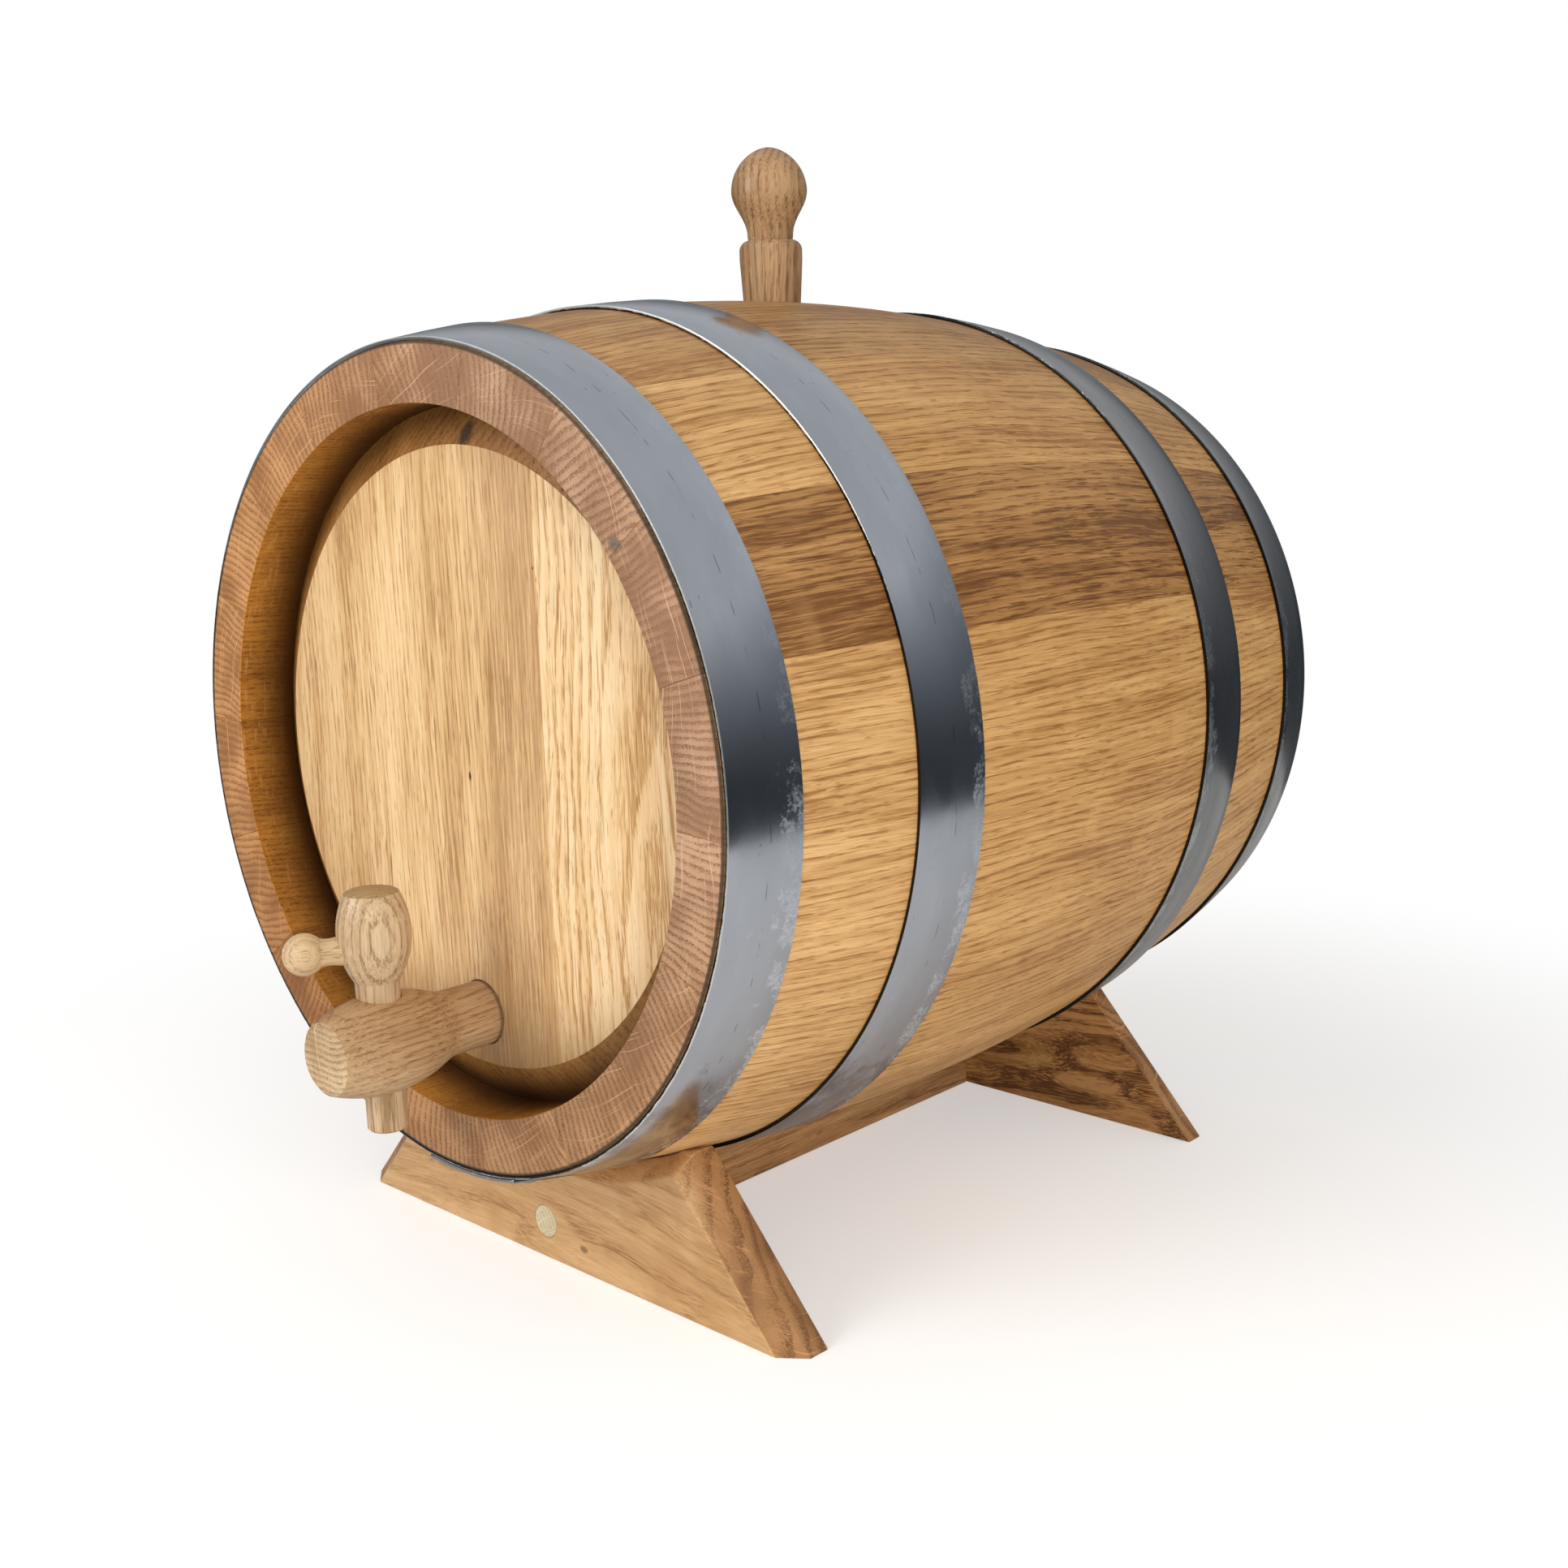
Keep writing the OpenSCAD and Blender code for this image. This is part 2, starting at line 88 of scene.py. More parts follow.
# %% Node helpers
def node(tree, kind, inputs, **settings):
    """Adds a shader node. Each input is a socket to link or a plain value."""
    made = tree.nodes.new("ShaderNode" + kind)
    for name, value in settings.items():
        setattr(made, name, value)
    for name, value in inputs.items():
        if isinstance(value, bpy.types.NodeSocket):
            tree.links.new(value, made.inputs[name])
        else:
            made.inputs[name].default_value = value
    return made


def calc(tree, operation, *values):
    """One step of arithmetic on numbers."""
    return node(tree, "Math", dict(enumerate(values)), operation=operation).outputs[0]


def times(tree, value, factor):
    """A product."""
    return calc(tree, "MULTIPLY", value, factor)


def plus(tree, value, other):
    """A sum."""
    return calc(tree, "ADD", value, other)


def scale_add(tree, value, factor, other):
    """A value times a factor, plus another value."""
    return calc(tree, "MULTIPLY_ADD", value, factor, other)


def vector(tree, operation, *values):
    """One step of arithmetic on vectors."""
    made = node(tree, "VectorMath", dict(enumerate(values)), operation=operation)
    return made.outputs["Value" if operation in ("LENGTH", "DOT_PRODUCT") else "Vector"]


def axes_of(tree, place):
    """The X, Y and Z of a vector."""
    return node(tree, "SeparateXYZ", {0: place}).outputs


def speckle(tree, place, scale=None, detail=2.0, rough=0.5):
    """Soft random values from 0 to 1. `scale` is the number of cells in a unit, along each axis."""
    if scale:
        place = vector(tree, "MULTIPLY", place, scale)
    inputs = {"Vector": place, "Scale": 1.0, "Detail": detail, "Roughness": rough}
    return node(tree, "TexNoise", inputs).outputs["Fac"]


def between(tree, value, low, high, out_low=0.0, out_high=1.0):
    """A smooth step: out_low below low, out_high above high."""
    inputs = {"Value": value, "From Min": low, "From Max": high, "To Min": out_low, "To Max": out_high}
    return node(tree, "MapRange", inputs, interpolation_type="SMOOTHSTEP").outputs["Result"]


def mix(tree, factor, first, second, blend="MIX"):
    """Blends two colours."""
    inputs = {0: factor, 6: first, 7: second}
    return node(tree, "Mix", inputs, data_type="RGBA", blend_type=blend).outputs[2]


def colour(red, green, blue):
    """A plain colour with full cover."""
    return (red, green, blue, 1.0)


def tinted(base, factor):
    """A colour made paler or darker."""
    return colour(*[min(1.0, c * factor) for c in base])


def new_material(name):
    """An empty material, its graph and its shader."""
    material = bpy.data.materials.new(name)
    material.use_nodes = True
    return material, material.node_tree, material.node_tree.nodes["Principled BSDF"]


# %% [markdown]
# ## Floor and light
# The cask stands on a white table in soft light. A lit white floor is never quite as white as the
# page, so for the camera alone it gets a little light of its own, and far from the cask it turns into
# plain white. Near the cask it stays a lit surface, which keeps the shadow.
#
# Steel shows the room more than it shows itself. The hoops mirror the white table below, then a dark
# room where the table ends, and higher up the paler walls. So the world is even for diffuse light,
# and for glossy rays it rises from dark to pale, while the table ends at arm's length.

# %% World
WORLD_LEVEL = 0.45
ROOM_DARK, ROOM_LIGHT = 0.043, 0.56
REAR_GLOW = 0.06
DARK_TINT = colour(0.90, 1.0, 1.12)
DARK_UNTIL, LIGHT_FROM, RISE_POWER = -0.20, 0.54, 2.3
REAR_FROM, REAR_TO = 0.20, 0.85

world = bpy.data.worlds.new("studio")
world.use_nodes = True
sky = world.node_tree
sky.nodes.clear()
heading = axes_of(sky, node(sky, "TexCoord", {}).outputs["Generated"])
rise_range = {"Value": heading["Z"], "From Min": DARK_UNTIL, "From Max": LIGHT_FROM}
rise = node(sky, "MapRange", rise_range).outputs["Result"]
behind = between(sky, heading["Y"], REAR_FROM, REAR_TO, ROOM_DARK, REAR_GLOW)
room = scale_add(sky, calc(sky, "POWER", rise, RISE_POWER), ROOM_LIGHT - ROOM_DARK, behind)
room_tint = mix(sky, rise, DARK_TINT, colour(0.99, 1.0, 1.01))
rays = node(sky, "LightPath", {}).outputs
even = node(sky, "Background", {"Color": colour(1.0, 0.985, 0.96), "Strength": WORLD_LEVEL}).outputs[0]
reflected = node(sky, "Background", {"Color": room_tint, "Strength": room}).outputs[0]
page = node(sky, "Background", {"Color": colour(1, 1, 1), "Strength": 1.0}).outputs[0]
lit = node(sky, "MixShader", {0: rays["Is Glossy Ray"], 1: even, 2: reflected}).outputs[0]
seen = node(sky, "MixShader", {0: rays["Is Camera Ray"], 1: lit, 2: page}).outputs[0]
node(sky, "OutputWorld", {"Surface": seen})
scene.world = world
print("world nodes:", len(sky.nodes))

# %% Floor
FLOOR_HALF = 4.0
FADE_FROM, FADE_TO = 0.17, 0.40
FLOOR_LIFT = 0.38
TABLE_END, EDGE_BLUR = 0.47, 0.02
REAR_NEAR, REAR_FAR = 0.20, 0.80
TABLE_PAINT = colour(0.86, 0.86, 0.86)

table = bmesh.new()
bmesh.ops.create_grid(table, x_segments=1, y_segments=1, size=FLOOR_HALF)
floor_mesh = bpy.data.meshes.new("floor")
table.to_mesh(floor_mesh)
table.free()
floor = bpy.data.objects.new("floor", floor_mesh)
scene.collection.objects.link(floor)

white_table, tree, _ = new_material("white_table")
tree.nodes.clear()
on_table = node(tree, "TexCoord", {}).outputs["Object"]
away = vector(tree, "LENGTH", on_table)
rays = node(tree, "LightPath", {}).outputs
paint = node(tree, "BsdfDiffuse", {"Color": TABLE_PAINT}).outputs[0]
lift = times(tree, rays["Is Camera Ray"], FLOOR_LIFT)
glow = node(tree, "Emission", {"Color": colour(1, 1, 1), "Strength": lift}).outputs[0]
near = node(tree, "AddShader", {0: paint, 1: glow}).outputs[0]
page = node(tree, "Emission", {"Color": colour(1, 1, 1), "Strength": 1.0}).outputs[0]
fade = times(tree, between(tree, away, FADE_FROM, FADE_TO), rays["Is Camera Ray"])
seen = node(tree, "MixShader", {0: fade, 1: near, 2: page}).outputs[0]
behind = between(tree, axes_of(tree, on_table)["Y"], REAR_NEAR, REAR_FAR, ROOM_DARK, REAR_GLOW)
dim = node(tree, "Emission", {"Color": DARK_TINT, "Strength": behind}).outputs[0]
past_edge = times(tree, between(tree, away, TABLE_END, TABLE_END + EDGE_BLUR), rays["Is Glossy Ray"])
surface = node(tree, "MixShader", {0: past_edge, 1: seen, 2: dim}).outputs[0]
node(tree, "OutputMaterial", {"Surface": surface})
floor_mesh.materials.append(white_table)
print("floor made,", 2 * FLOOR_HALF, "m across")

# %% Softboxes
LAMP_AIM = Vector((0, 0, 0.13))


def softbox(name, at, size, power, mirrored=True):
    """A square lamp that faces the middle of the cask. The steel needn't show it."""
    data = bpy.data.lights.new(name, "AREA")
    data.shape = "SQUARE"
    data.size = size
    data.energy = power
    lamp = bpy.data.objects.new(name, data)
    facing = (LAMP_AIM - Vector(at)).to_track_quat("-Z", "Y")
    lamp.matrix_world = Matrix.Translation(at) @ facing.to_matrix().to_4x4()
    lamp.visible_glossy = mirrored
    scene.collection.objects.link(lamp)


softbox("front_softbox", (-0.35, -1.30, 0.72), 0.8, 10.0)
softbox("side_softbox", (1.18, -0.55, 0.36), 0.7, 8.8, mirrored=False)
print("lamps:", [light.name for light in bpy.data.lights])

# %% [markdown]
# ## Oak as a solid
# Oak isn't a picture glued to a surface. It is a log with growth rings, pores that run along the
# grain, and rays that run out from the pith. One could paint the long faces and the end grain apart,
# but then they never meet at an arris. Here the pattern fills space: each piece says where it lay in
# the log, and every face that cuts it shows the right figure by itself.
#
# Board coordinates are in metres: Y runs along the grain, and the pith lies at X = Z = 0.

# %% Oak figure
FIGURE_PARTS = ("Shade", "Streaks", "Fibre", "Nap", "Rings", "Pores", "Dashes", "Rays", "Flecks")


def oak_figure():
    """A node group: board coordinates in, the parts of oak's figure out."""
    group = bpy.data.node_groups.new("oak_figure", "ShaderNodeTree")
    face = group.interface
    face.new_socket("Board", in_out="INPUT", socket_type="NodeSocketVector")
    face.new_socket("Ring pitch", in_out="INPUT", socket_type="NodeSocketFloat")
    face.new_socket("Wander", in_out="INPUT", socket_type="NodeSocketFloat")
    for name in FIGURE_PARTS:
        face.new_socket(name, in_out="OUTPUT", socket_type="NodeSocketFloat")
    given = group.nodes.new("NodeGroupInput").outputs
    place = vector(group, "MULTIPLY", given["Board"], (1000, 1000, 1000))

    # The trunk isn't straight, so the rings wander slowly.
    slow = vector(group, "MULTIPLY", place, (1 / 38, 1 / 120, 1 / 38))
    drift = node(group, "TexNoise", {"Vector": slow, "Scale": 1.0, "Detail": 2.0}).outputs["Color"]
    drift = vector(group, "SUBTRACT", drift, (0.5, 0.5, 0.5))
    swing = {"Vector": drift, "Scale": given["Wander"]}
    drift = node(group, "VectorMath", swing, operation="SCALE").outputs[0]
    wavy = vector(group, "ADD", place, drift)
    bent = axes_of(group, wavy)

    # Rings: a sudden dark, porous start in spring that thins out into pale summer wood.
    square = scale_add(group, bent[0], bent[0], times(group, bent[2], bent[2]))
    radius = calc(group, "SQRT", square)
    uneven = speckle(group, place, (1 / 13, 1 / 160, 1 / 13), 2.0)
    cone = scale_add(group, bent[1], 0.035, radius)
    turns = plus(group, calc(group, "DIVIDE", cone, given["Ring pitch"]), times(group, uneven, 1.9))
    season = calc(group, "FRACT", turns)
    spring = times(group, between(group, season, 0.0, 0.12), between(group, season, 0.16, 0.70, 1.0, 0.0))

    # Pores are short dark tubes along the grain, most of them in the spring wood.
    crowd = speckle(group, wavy, (1 / 5, 1 / 30, 1 / 5), 1.0)
    tubes = speckle(group, wavy, (3.0, 0.20, 3.0), 1.0)
    tubes = plus(group, tubes, times(group, spring, 0.10))
    tubes = plus(group, tubes, times(group, crowd, 0.22))
    pores = between(group, tubes, 0.77, 0.87)
    dashes = speckle(group, wavy, (1.6, 0.070, 1.6), 1.0)
    dashes = plus(group, dashes, times(group, crowd, 0.2))

    # Fibre and streaks run the length of the board; shade is slow and broad.
    fibre = speckle(group, wavy, (2.1, 0.038, 2.1), 2.0, 0.7)
    nap = speckle(group, wavy, (2.6, 0.075, 2.6), 2.0, 0.65)
    streaks = speckle(group, wavy, (0.42, 0.012, 0.42), 2.0, 0.6)
    shade = speckle(group, place, (1 / 14, 1 / 110, 1 / 14), 2.0)

    # Rays run out from the pith, so they are thin in angle and long in radius.
    angle = times(group, calc(group, "ARCTAN2", bent[2], bent[0]), 75.0)

    def ray_pattern(across, along, outward, low, high):
        at = node(group, "CombineXYZ", {
            0: times(group, angle, across),
            1: times(group, bent[1], along),
            2: times(group, radius, outward)}).outputs[0]
        return between(group, speckle(group, at, detail=1.0), low, high)

    rays = ray_pattern(2.4, 0.10, 0.026, 0.645, 0.695)
    flecks = ray_pattern(0.50, 0.11, 0.070, 0.52, 0.76)

    out = group.nodes.new("NodeGroupOutput")
    values = (shade, streaks, fibre, nap, spring, pores, dashes, rays, flecks)
    for name, value in zip(FIGURE_PARTS, values):
        group.links.new(value, out.inputs[name])
    return group


OAK = oak_figure()
print("oak figure nodes:", len(OAK.nodes))

# %% [markdown]
# ## Oak finishes
# The pieces differ in colour, in how the board lay in the log and in which way the grain runs. One
# function makes every finish from these facts. The end grain drinks light, so it is darker and
# redder than the long faces, and rings and rays show there best. We find it by comparing the
# surface's normal with the grain.

# %% Oak finish
LAYER_STRENGTH = {"Shade": 1.5, "Streaks": 1.0, "Fibre": 1.05, "Nap": 1.1}
MIDDLE_TONE, MIDDLE_CUT = 0.42, -0.66
DARK_PIECE = colour(0.77, 0.76, 0.77)
SANDED_ROUGH, OAK_SPECULAR, PORE_DEPTH = 0.52, 0.35, 0.09
END_PALE, END_BROWN = (0.54, 0.330, 0.190), (0.29, 0.150, 0.078)


def oak_finish(
    name, pale, honey, brown, end_pale=END_PALE, end_brown=END_BROWN, grain=(0, 1, 0), turn=(0, 0, 0),
    log=(0, 0, 0), pitch=1.7, wander=8.0, depth=1.0, ring=0.30, dash=0.5, dash_from=0.80, pore=0.5,
    fleck=0.16, end_span=(0.60, 0.90), attribute=None, touch=None,
):
    """A sanded oak surface, from three colours of its long faces and two of its end grain.

    `grain` is the grain's direction on the piece. `turn` (degrees) and `log` (millimetres) bring the
    piece's own coordinates to its place in the log, unless `attribute` holds that place. `pitch` and
    `wander` shape the rings; `depth`, `ring`, `dash`, `pore` and `fleck` say how strongly each part of
    the figure shows. `touch` adds what only this piece has."""
    material, tree, shader = new_material(name)
    where = node(tree, "TexCoord", {}).outputs
    if attribute:
        board = node(tree, "Attribute", {}, attribute_name=attribute).outputs["Vector"]
    else:
        board = node(tree, "Mapping", {
            "Vector": where["Object"],
            "Rotation": [math.radians(a) for a in turn],
            "Location": [v * MM for v in log]}).outputs[0]
    figure = node(tree, "Group", {}, node_tree=OAK)
    tree.links.new(board, figure.inputs["Board"])
    figure.inputs["Ring pitch"].default_value = pitch
    figure.inputs["Wander"].default_value = wander
    part = figure.outputs
    end = calc(tree, "ABSOLUTE", vector(tree, "DOT_PRODUCT", where["Normal"], grain))
    end = between(tree, end, *end_span)
    rows = times(tree, part["Rings"], between(tree, part["Nap"], 0.38, 0.62, 0.30, 1.50))

    strength = {layer: amount * depth for layer, amount in LAYER_STRENGTH.items()}
    tone = MIDDLE_TONE - sum(strength.values()) / 2 - 0.25 * ring
    for layer, amount in strength.items():
        tone = scale_add(tree, part[layer], amount, tone)
    tone = scale_add(tree, rows, ring, tone)
    cut = scale_add(tree, part["Shade"], 1.5, MIDDLE_CUT)
    if attribute:
        piece_tone = node(tree, "Attribute", {}, attribute_name="tone").outputs["Fac"]
        tone = scale_add(tree, piece_tone, 0.5, tone)
        cut = scale_add(tree, piece_tone, 0.35, cut)
    base = mix(tree, between(tree, tone, 0.0, 0.5), colour(*pale), colour(*honey))
    base = mix(tree, between(tree, tone, 0.45, 1.0), base, colour(*brown))
    if attribute:
        base = mix(tree, piece_tone, base, DARK_PIECE, blend="MULTIPLY")
    base = mix(tree, times(tree, part["Flecks"], fleck), base, tinted(pale, 1.25))
    deep = colour(brown[0] * 0.66, brown[1] * 0.50, brown[2] * 0.34)
    lines = between(tree, part["Dashes"], dash_from, dash_from + 0.08)
    base = mix(tree, times(tree, part["Pores"], pore), base, deep)
    base = mix(tree, times(tree, lines, dash), base, deep)

    cut = scale_add(tree, part["Nap"], 0.5, cut)
    cut = scale_add(tree, rows, 0.46, cut)
    cut_face = mix(tree, between(tree, cut, 0.0, 0.8), colour(*end_pale), colour(*end_brown))
    cut_face = mix(tree, times(tree, part["Pores"], 0.55), cut_face, tinted(end_brown, 0.45))
    cut_face = mix(tree, times(tree, part["Rays"], 0.6), cut_face, tinted(end_pale, 1.35))
    base = mix(tree, end, base, cut_face)
    if touch:
        base = touch(tree, where["Object"], base)
    tree.links.new(base, shader.inputs["Base Color"])

    dull = scale_add(tree, part["Pores"], 0.2, SANDED_ROUGH)
    dull = scale_add(tree, part["Fibre"], -0.15, dull)
    tree.links.new(scale_add(tree, end, 0.12, dull), shader.inputs["Roughness"])
    shader.inputs["Specular IOR Level"].default_value = OAK_SPECULAR
    relief = scale_add(tree, part["Pores"], -1.0, times(tree, part["Fibre"], 0.6))
    relief = scale_add(tree, lines, -0.8, relief)
    bump = node(tree, "Bump", {"Strength": 0.6, "Distance": PORE_DEPTH * MM, "Height": relief})
    tree.links.new(bump.outputs[0], shader.inputs["Normal"])
    return material


# %% Marks on the wood
AXIS_Z = 132.4


def spot(tree, place, base, at, size, tint, amount=1.0):
    """A small mark on the wood. `at` and `size` (its half widths) are in millimetres."""
    offset = vector(tree, "SUBTRACT", place, tuple(v * MM for v in at))
    ragged = speckle(tree, place, (900, 900, 900), 2.0)
    reach = vector(tree, "LENGTH", vector(tree, "DIVIDE", offset, tuple(v * MM for v in size)))
    reach = scale_add(tree, ragged, 0.7, reach)
    return mix(tree, between(tree, reach, 0.75, 1.45, amount, 0.0), base, colour(*tint))


def round_axis(tree, axes):
    """Height over the cask's axis, and distance from it."""
    up = calc(tree, "SUBTRACT", axes["Z"], AXIS_Z * MM)
    return up, calc(tree, "SQRT", scale_add(tree, axes["X"], axes["X"], times(tree, up, up)))


def low_shade(tree, place, base):
    """The foot of a head is a little darker: painted shade."""
    painted_shade = between(tree, axes_of(tree, place)["Z"], 58 * MM, 88 * MM, 0.72, 0.0)
    return mix(tree, painted_shade, base, colour(0.30, 0.165, 0.062))


# Each knot is its place, its half widths, its colour and, if not full, its strength.
PIN_KNOTS = (
    ((0.7, -108, 129.3), (0.6, 3, 1.3), (0.10, 0.045, 0.015)),
    ((28.3, -108, 178.8), (0.4, 3, 0.6), (0.16, 0.075, 0.025)),
)
CHIME_KNOT = ((68.5, -119, 185.3), (2.3, 2, 1.9), (0.16, 0.125, 0.095), 0.8)
BOARD_KNOT = ((12.4, -90.6, 6.6), (1.8, 3, 1.1), (0.20, 0.10, 0.04), 0.8)
BEVEL_KNOT = ((5.5, -107, 208.5), (2.6, 6, 4.0), (0.035, 0.016, 0.006), 0.9)


def head_streaks(tree, place, base):
    """Brown lines crowd together on the middle board, just left of the joint. It has two pin knots."""
    ragged = speckle(tree, place, (150, 150, 9), 3.0, 0.6)
    across = scale_add(tree, ragged, 26 * MM, axes_of(tree, place)["X"])
    begin = between(tree, across, 8 * MM, 34 * MM)
    band = times(tree, begin, between(tree, across, 39 * MM, 47 * MM, 1.0, 0.0))
    lines = speckle(tree, place, (1500, 1500, 55), 3.0, 0.65)
    band = times(tree, band, between(tree, lines, 0.38, 0.60, 0.06, 0.62))
    base = mix(tree, band, base, colour(0.47, 0.270, 0.125))
    base = low_shade(tree, place, base)
    for knot in PIN_KNOTS:
        base = spot(tree, place, base, *knot)
    return base


def chime_marks(tree, place, base):
    """The sawn ends are more golden on the left, with painted shade below and at the outer arris by the
    hoop's edge; one has a grey knot. By the front hoops the staves are paler: painted light."""
    axes = axes_of(tree, place)
    up, radius = round_axis(tree, axes)
    at_end = between(tree, calc(tree, "ABSOLUTE", axes["Y"]), 118.2 * MM, 118.7 * MM)
    left = times(tree, at_end, between(tree, axes["X"], -75 * MM, 30 * MM, 1.0, 0.0))
    base = mix(tree, left, base, colour(1.05, 0.86, 0.54), blend="MULTIPLY")
    # Painted shade: the sawn ends are darker below.
    below = times(tree, at_end, between(tree, up, -85 * MM, 10 * MM, 1.0, 0.0))
    base = mix(tree, below, base, colour(0.80, 0.72, 0.56), blend="MULTIPLY")
    # Painted shade: a dark ring at the outer arris, by the hoop's front edge.
    gap_shade = times(tree, at_end, between(tree, radius, 95.7 * MM, 96.3 * MM, 0.0, 0.9))
    base = mix(tree, gap_shade, base, colour(0.045, 0.028, 0.016))
    # Painted light: the long faces are paler towards the front, where the front light falls.
    in_front = between(tree, axes["Y"], -100 * MM, -45 * MM, 1.0, 0.0)
    painted_front_light = times(tree, calc(tree, "SUBTRACT", 1.0, at_end), in_front)
    base = mix(tree, painted_front_light, base, colour(1.16, 1.22, 1.38), blend="MULTIPLY")
    return spot(tree, place, base, *CHIME_KNOT)


def joint_line(tree, place, base):
    """Where the spigot enters the head, a dark line: painted shade in the joint."""
    joint_shade = between(tree, axes_of(tree, place)["Y"], -109.2 * MM, -108.5 * MM, 0.0, 0.55)
    return mix(tree, joint_shade, base, colour(0.06, 0.03, 0.012))


SMUDGE_SHIFT = (0.03, 0, 0)


def board_marks(tree, place, base):
    """Diagonal smudges and a small knot on the front board."""
    cloud = speckle(tree, vector(tree, "ADD", place, SMUDGE_SHIFT), (38, 20, 17), 2.0, 0.55)
    base = mix(tree, between(tree, cloud, 0.50, 0.68, 0.0, 0.38), base, colour(0.46, 0.240, 0.085))
    return spot(tree, place, base, *BOARD_KNOT)


def toasted_and_shaded(tree, place, base):
    """The wall in front of a head is darker, most of all down by the groove: toasting and painted shade.
    It is scratched.
    """
    depth = calc(tree, "ABSOLUTE", axes_of(tree, place)["Y"])
    scratch = between(tree, speckle(tree, place, (160, 900, 160), 2.0), 0.56, 0.70, 0.0, 0.5)
    base = mix(tree, scratch, base, colour(0.64, 0.320, 0.085))
    # Toasting and painted shade of the recess, darkest by the groove.
    burn_and_shade = between(tree, depth, 104.0 * MM, 119.0 * MM, 0.96, 0.20)
    return mix(tree, burn_and_shade, base, colour(0.060, 0.018, 0.002))


def rim_shade(tree, place, base):
    """The bevel round a head is darker, with scorching and painted shade: more towards the groove, and
    more low down. It has a dark knot."""
    up, radius = round_axis(tree, axes_of(tree, place))
    outwards = between(tree, radius, 74 * MM, 83 * MM, 0.25, 0.75)
    burn_and_shade = times(tree, outwards, between(tree, up, -55 * MM, 60 * MM, 1.35, 0.45))
    # Scorching and painted shade, darkest by the groove and low down.
    base = mix(tree, burn_and_shade, base, colour(0.045, 0.016, 0.002))
    return spot(tree, place, base, *BEVEL_KNOT)


# %% Oak of each piece
UPRIGHT = {"grain": (0, 0, 1), "turn": (-90, 0, 0)}
CROSSWISE = {"grain": (1, 0, 0), "turn": (0, 0, 90)}
STAVE_END = ((0.58, 0.355, 0.215), (0.31, 0.158, 0.080))
PEG_TURN = 29
PEG_GRAIN = (-math.sin(math.radians(PEG_TURN)), -math.cos(math.radians(PEG_TURN)), 0)

STAVE_OAK = oak_finish(
    "stave_oak", (0.69, 0.400, 0.152), (0.56, 0.300, 0.098), (0.34, 0.150, 0.038), *STAVE_END,
    attribute="timber", pitch=2.2, dash=0.32, touch=chime_marks)
DARK_STAVE_OAK = oak_finish(
    "dark_stave_oak", (0.50, 0.265, 0.085), (0.38, 0.180, 0.050), (0.18, 0.070, 0.016), *STAVE_END,
    attribute="timber", depth=1.15, pitch=2.2, dash=0.72, dash_from=0.72, pore=0.6, touch=chime_marks)
# The howel walls' oak: toasting, with painted shade deep in the recess.
TOASTED_SHADED_OAK = oak_finish(
    "toasted_shaded_oak", (0.54, 0.235, 0.032), (0.44, 0.172, 0.021), (0.25, 0.088, 0.010),
    attribute="timber", touch=toasted_and_shaded)
HEAD_OAK = oak_finish(
    "head_oak", (0.88, 0.620, 0.330), (0.74, 0.470, 0.215), (0.50, 0.285, 0.115), **UPRIGHT,
    log=(95, 0, -96), wander=6.0, ring=0.25, dash=0.6, depth=1.2, dash_from=0.74, fleck=0.05,
    touch=head_streaks)
HEAD_OAK_RIGHT = oak_finish(
    "head_oak_right", (0.95, 0.710, 0.415), (0.84, 0.565, 0.285), (0.58, 0.325, 0.120), **UPRIGHT,
    log=(-66, 210, -66), pitch=1.9, wander=16.0, ring=0.50, depth=0.8, dash=0.6, dash_from=0.74,
    pore=0.6, fleck=0.0, touch=low_shade)
RIM_OAK = oak_finish(
    "rim_oak", (0.43, 0.200, 0.048), (0.33, 0.142, 0.028), (0.20, 0.076, 0.014),
    (0.38, 0.180, 0.045), (0.23, 0.098, 0.020), **UPRIGHT, log=(95, 0, 20), touch=rim_shade)
BUNG_OAK = oak_finish(
    "bung_oak", (0.48, 0.295, 0.152), (0.37, 0.212, 0.100), (0.21, 0.102, 0.040), **UPRIGHT,
    log=(58, 60, -55), wander=16.0, ring=0.35, dash=0.3)
SPIGOT_OAK = oak_finish(
    "spigot_oak", (0.58, 0.385, 0.210), (0.465, 0.285, 0.140), (0.30, 0.165, 0.070),
    (0.68, 0.490, 0.290), (0.40, 0.245, 0.120), log=(6, 0, -141), pitch=1.5, depth=0.85, dash=0.28,
    end_span=(0.35, 0.80), touch=joint_line)
KEY_OAK = oak_finish(
    "key_oak", (0.69, 0.505, 0.310), (0.56, 0.385, 0.220), (0.34, 0.210, 0.105),
    (0.54, 0.365, 0.180), (0.37, 0.230, 0.100), **UPRIGHT, log=(-15, 0, -143), pitch=2.0, wander=4.0,
    ring=0.40, depth=0.8)
PEG_OAK = oak_finish(
    "peg_oak", (0.73, 0.535, 0.315), (0.63, 0.440, 0.245), (0.43, 0.275, 0.138),
    (0.74, 0.530, 0.310), (0.56, 0.370, 0.190), grain=PEG_GRAIN, turn=(0, 0, PEG_TURN),
    log=(30, 0, -80), pitch=1.6, wander=3.0, depth=0.8)
CRADLE_OAK = oak_finish(
    "cradle_oak", (0.72, 0.455, 0.222), (0.58, 0.338, 0.144), (0.37, 0.190, 0.070),
    (0.44, 0.225, 0.090), (0.22, 0.098, 0.036), **CROSSWISE, log=(18, 0, 34), pitch=3.6, wander=22.0,
    ring=0.28, depth=0.7, dash=0.22, pore=0.25, end_span=(0.42, 0.52), touch=board_marks)
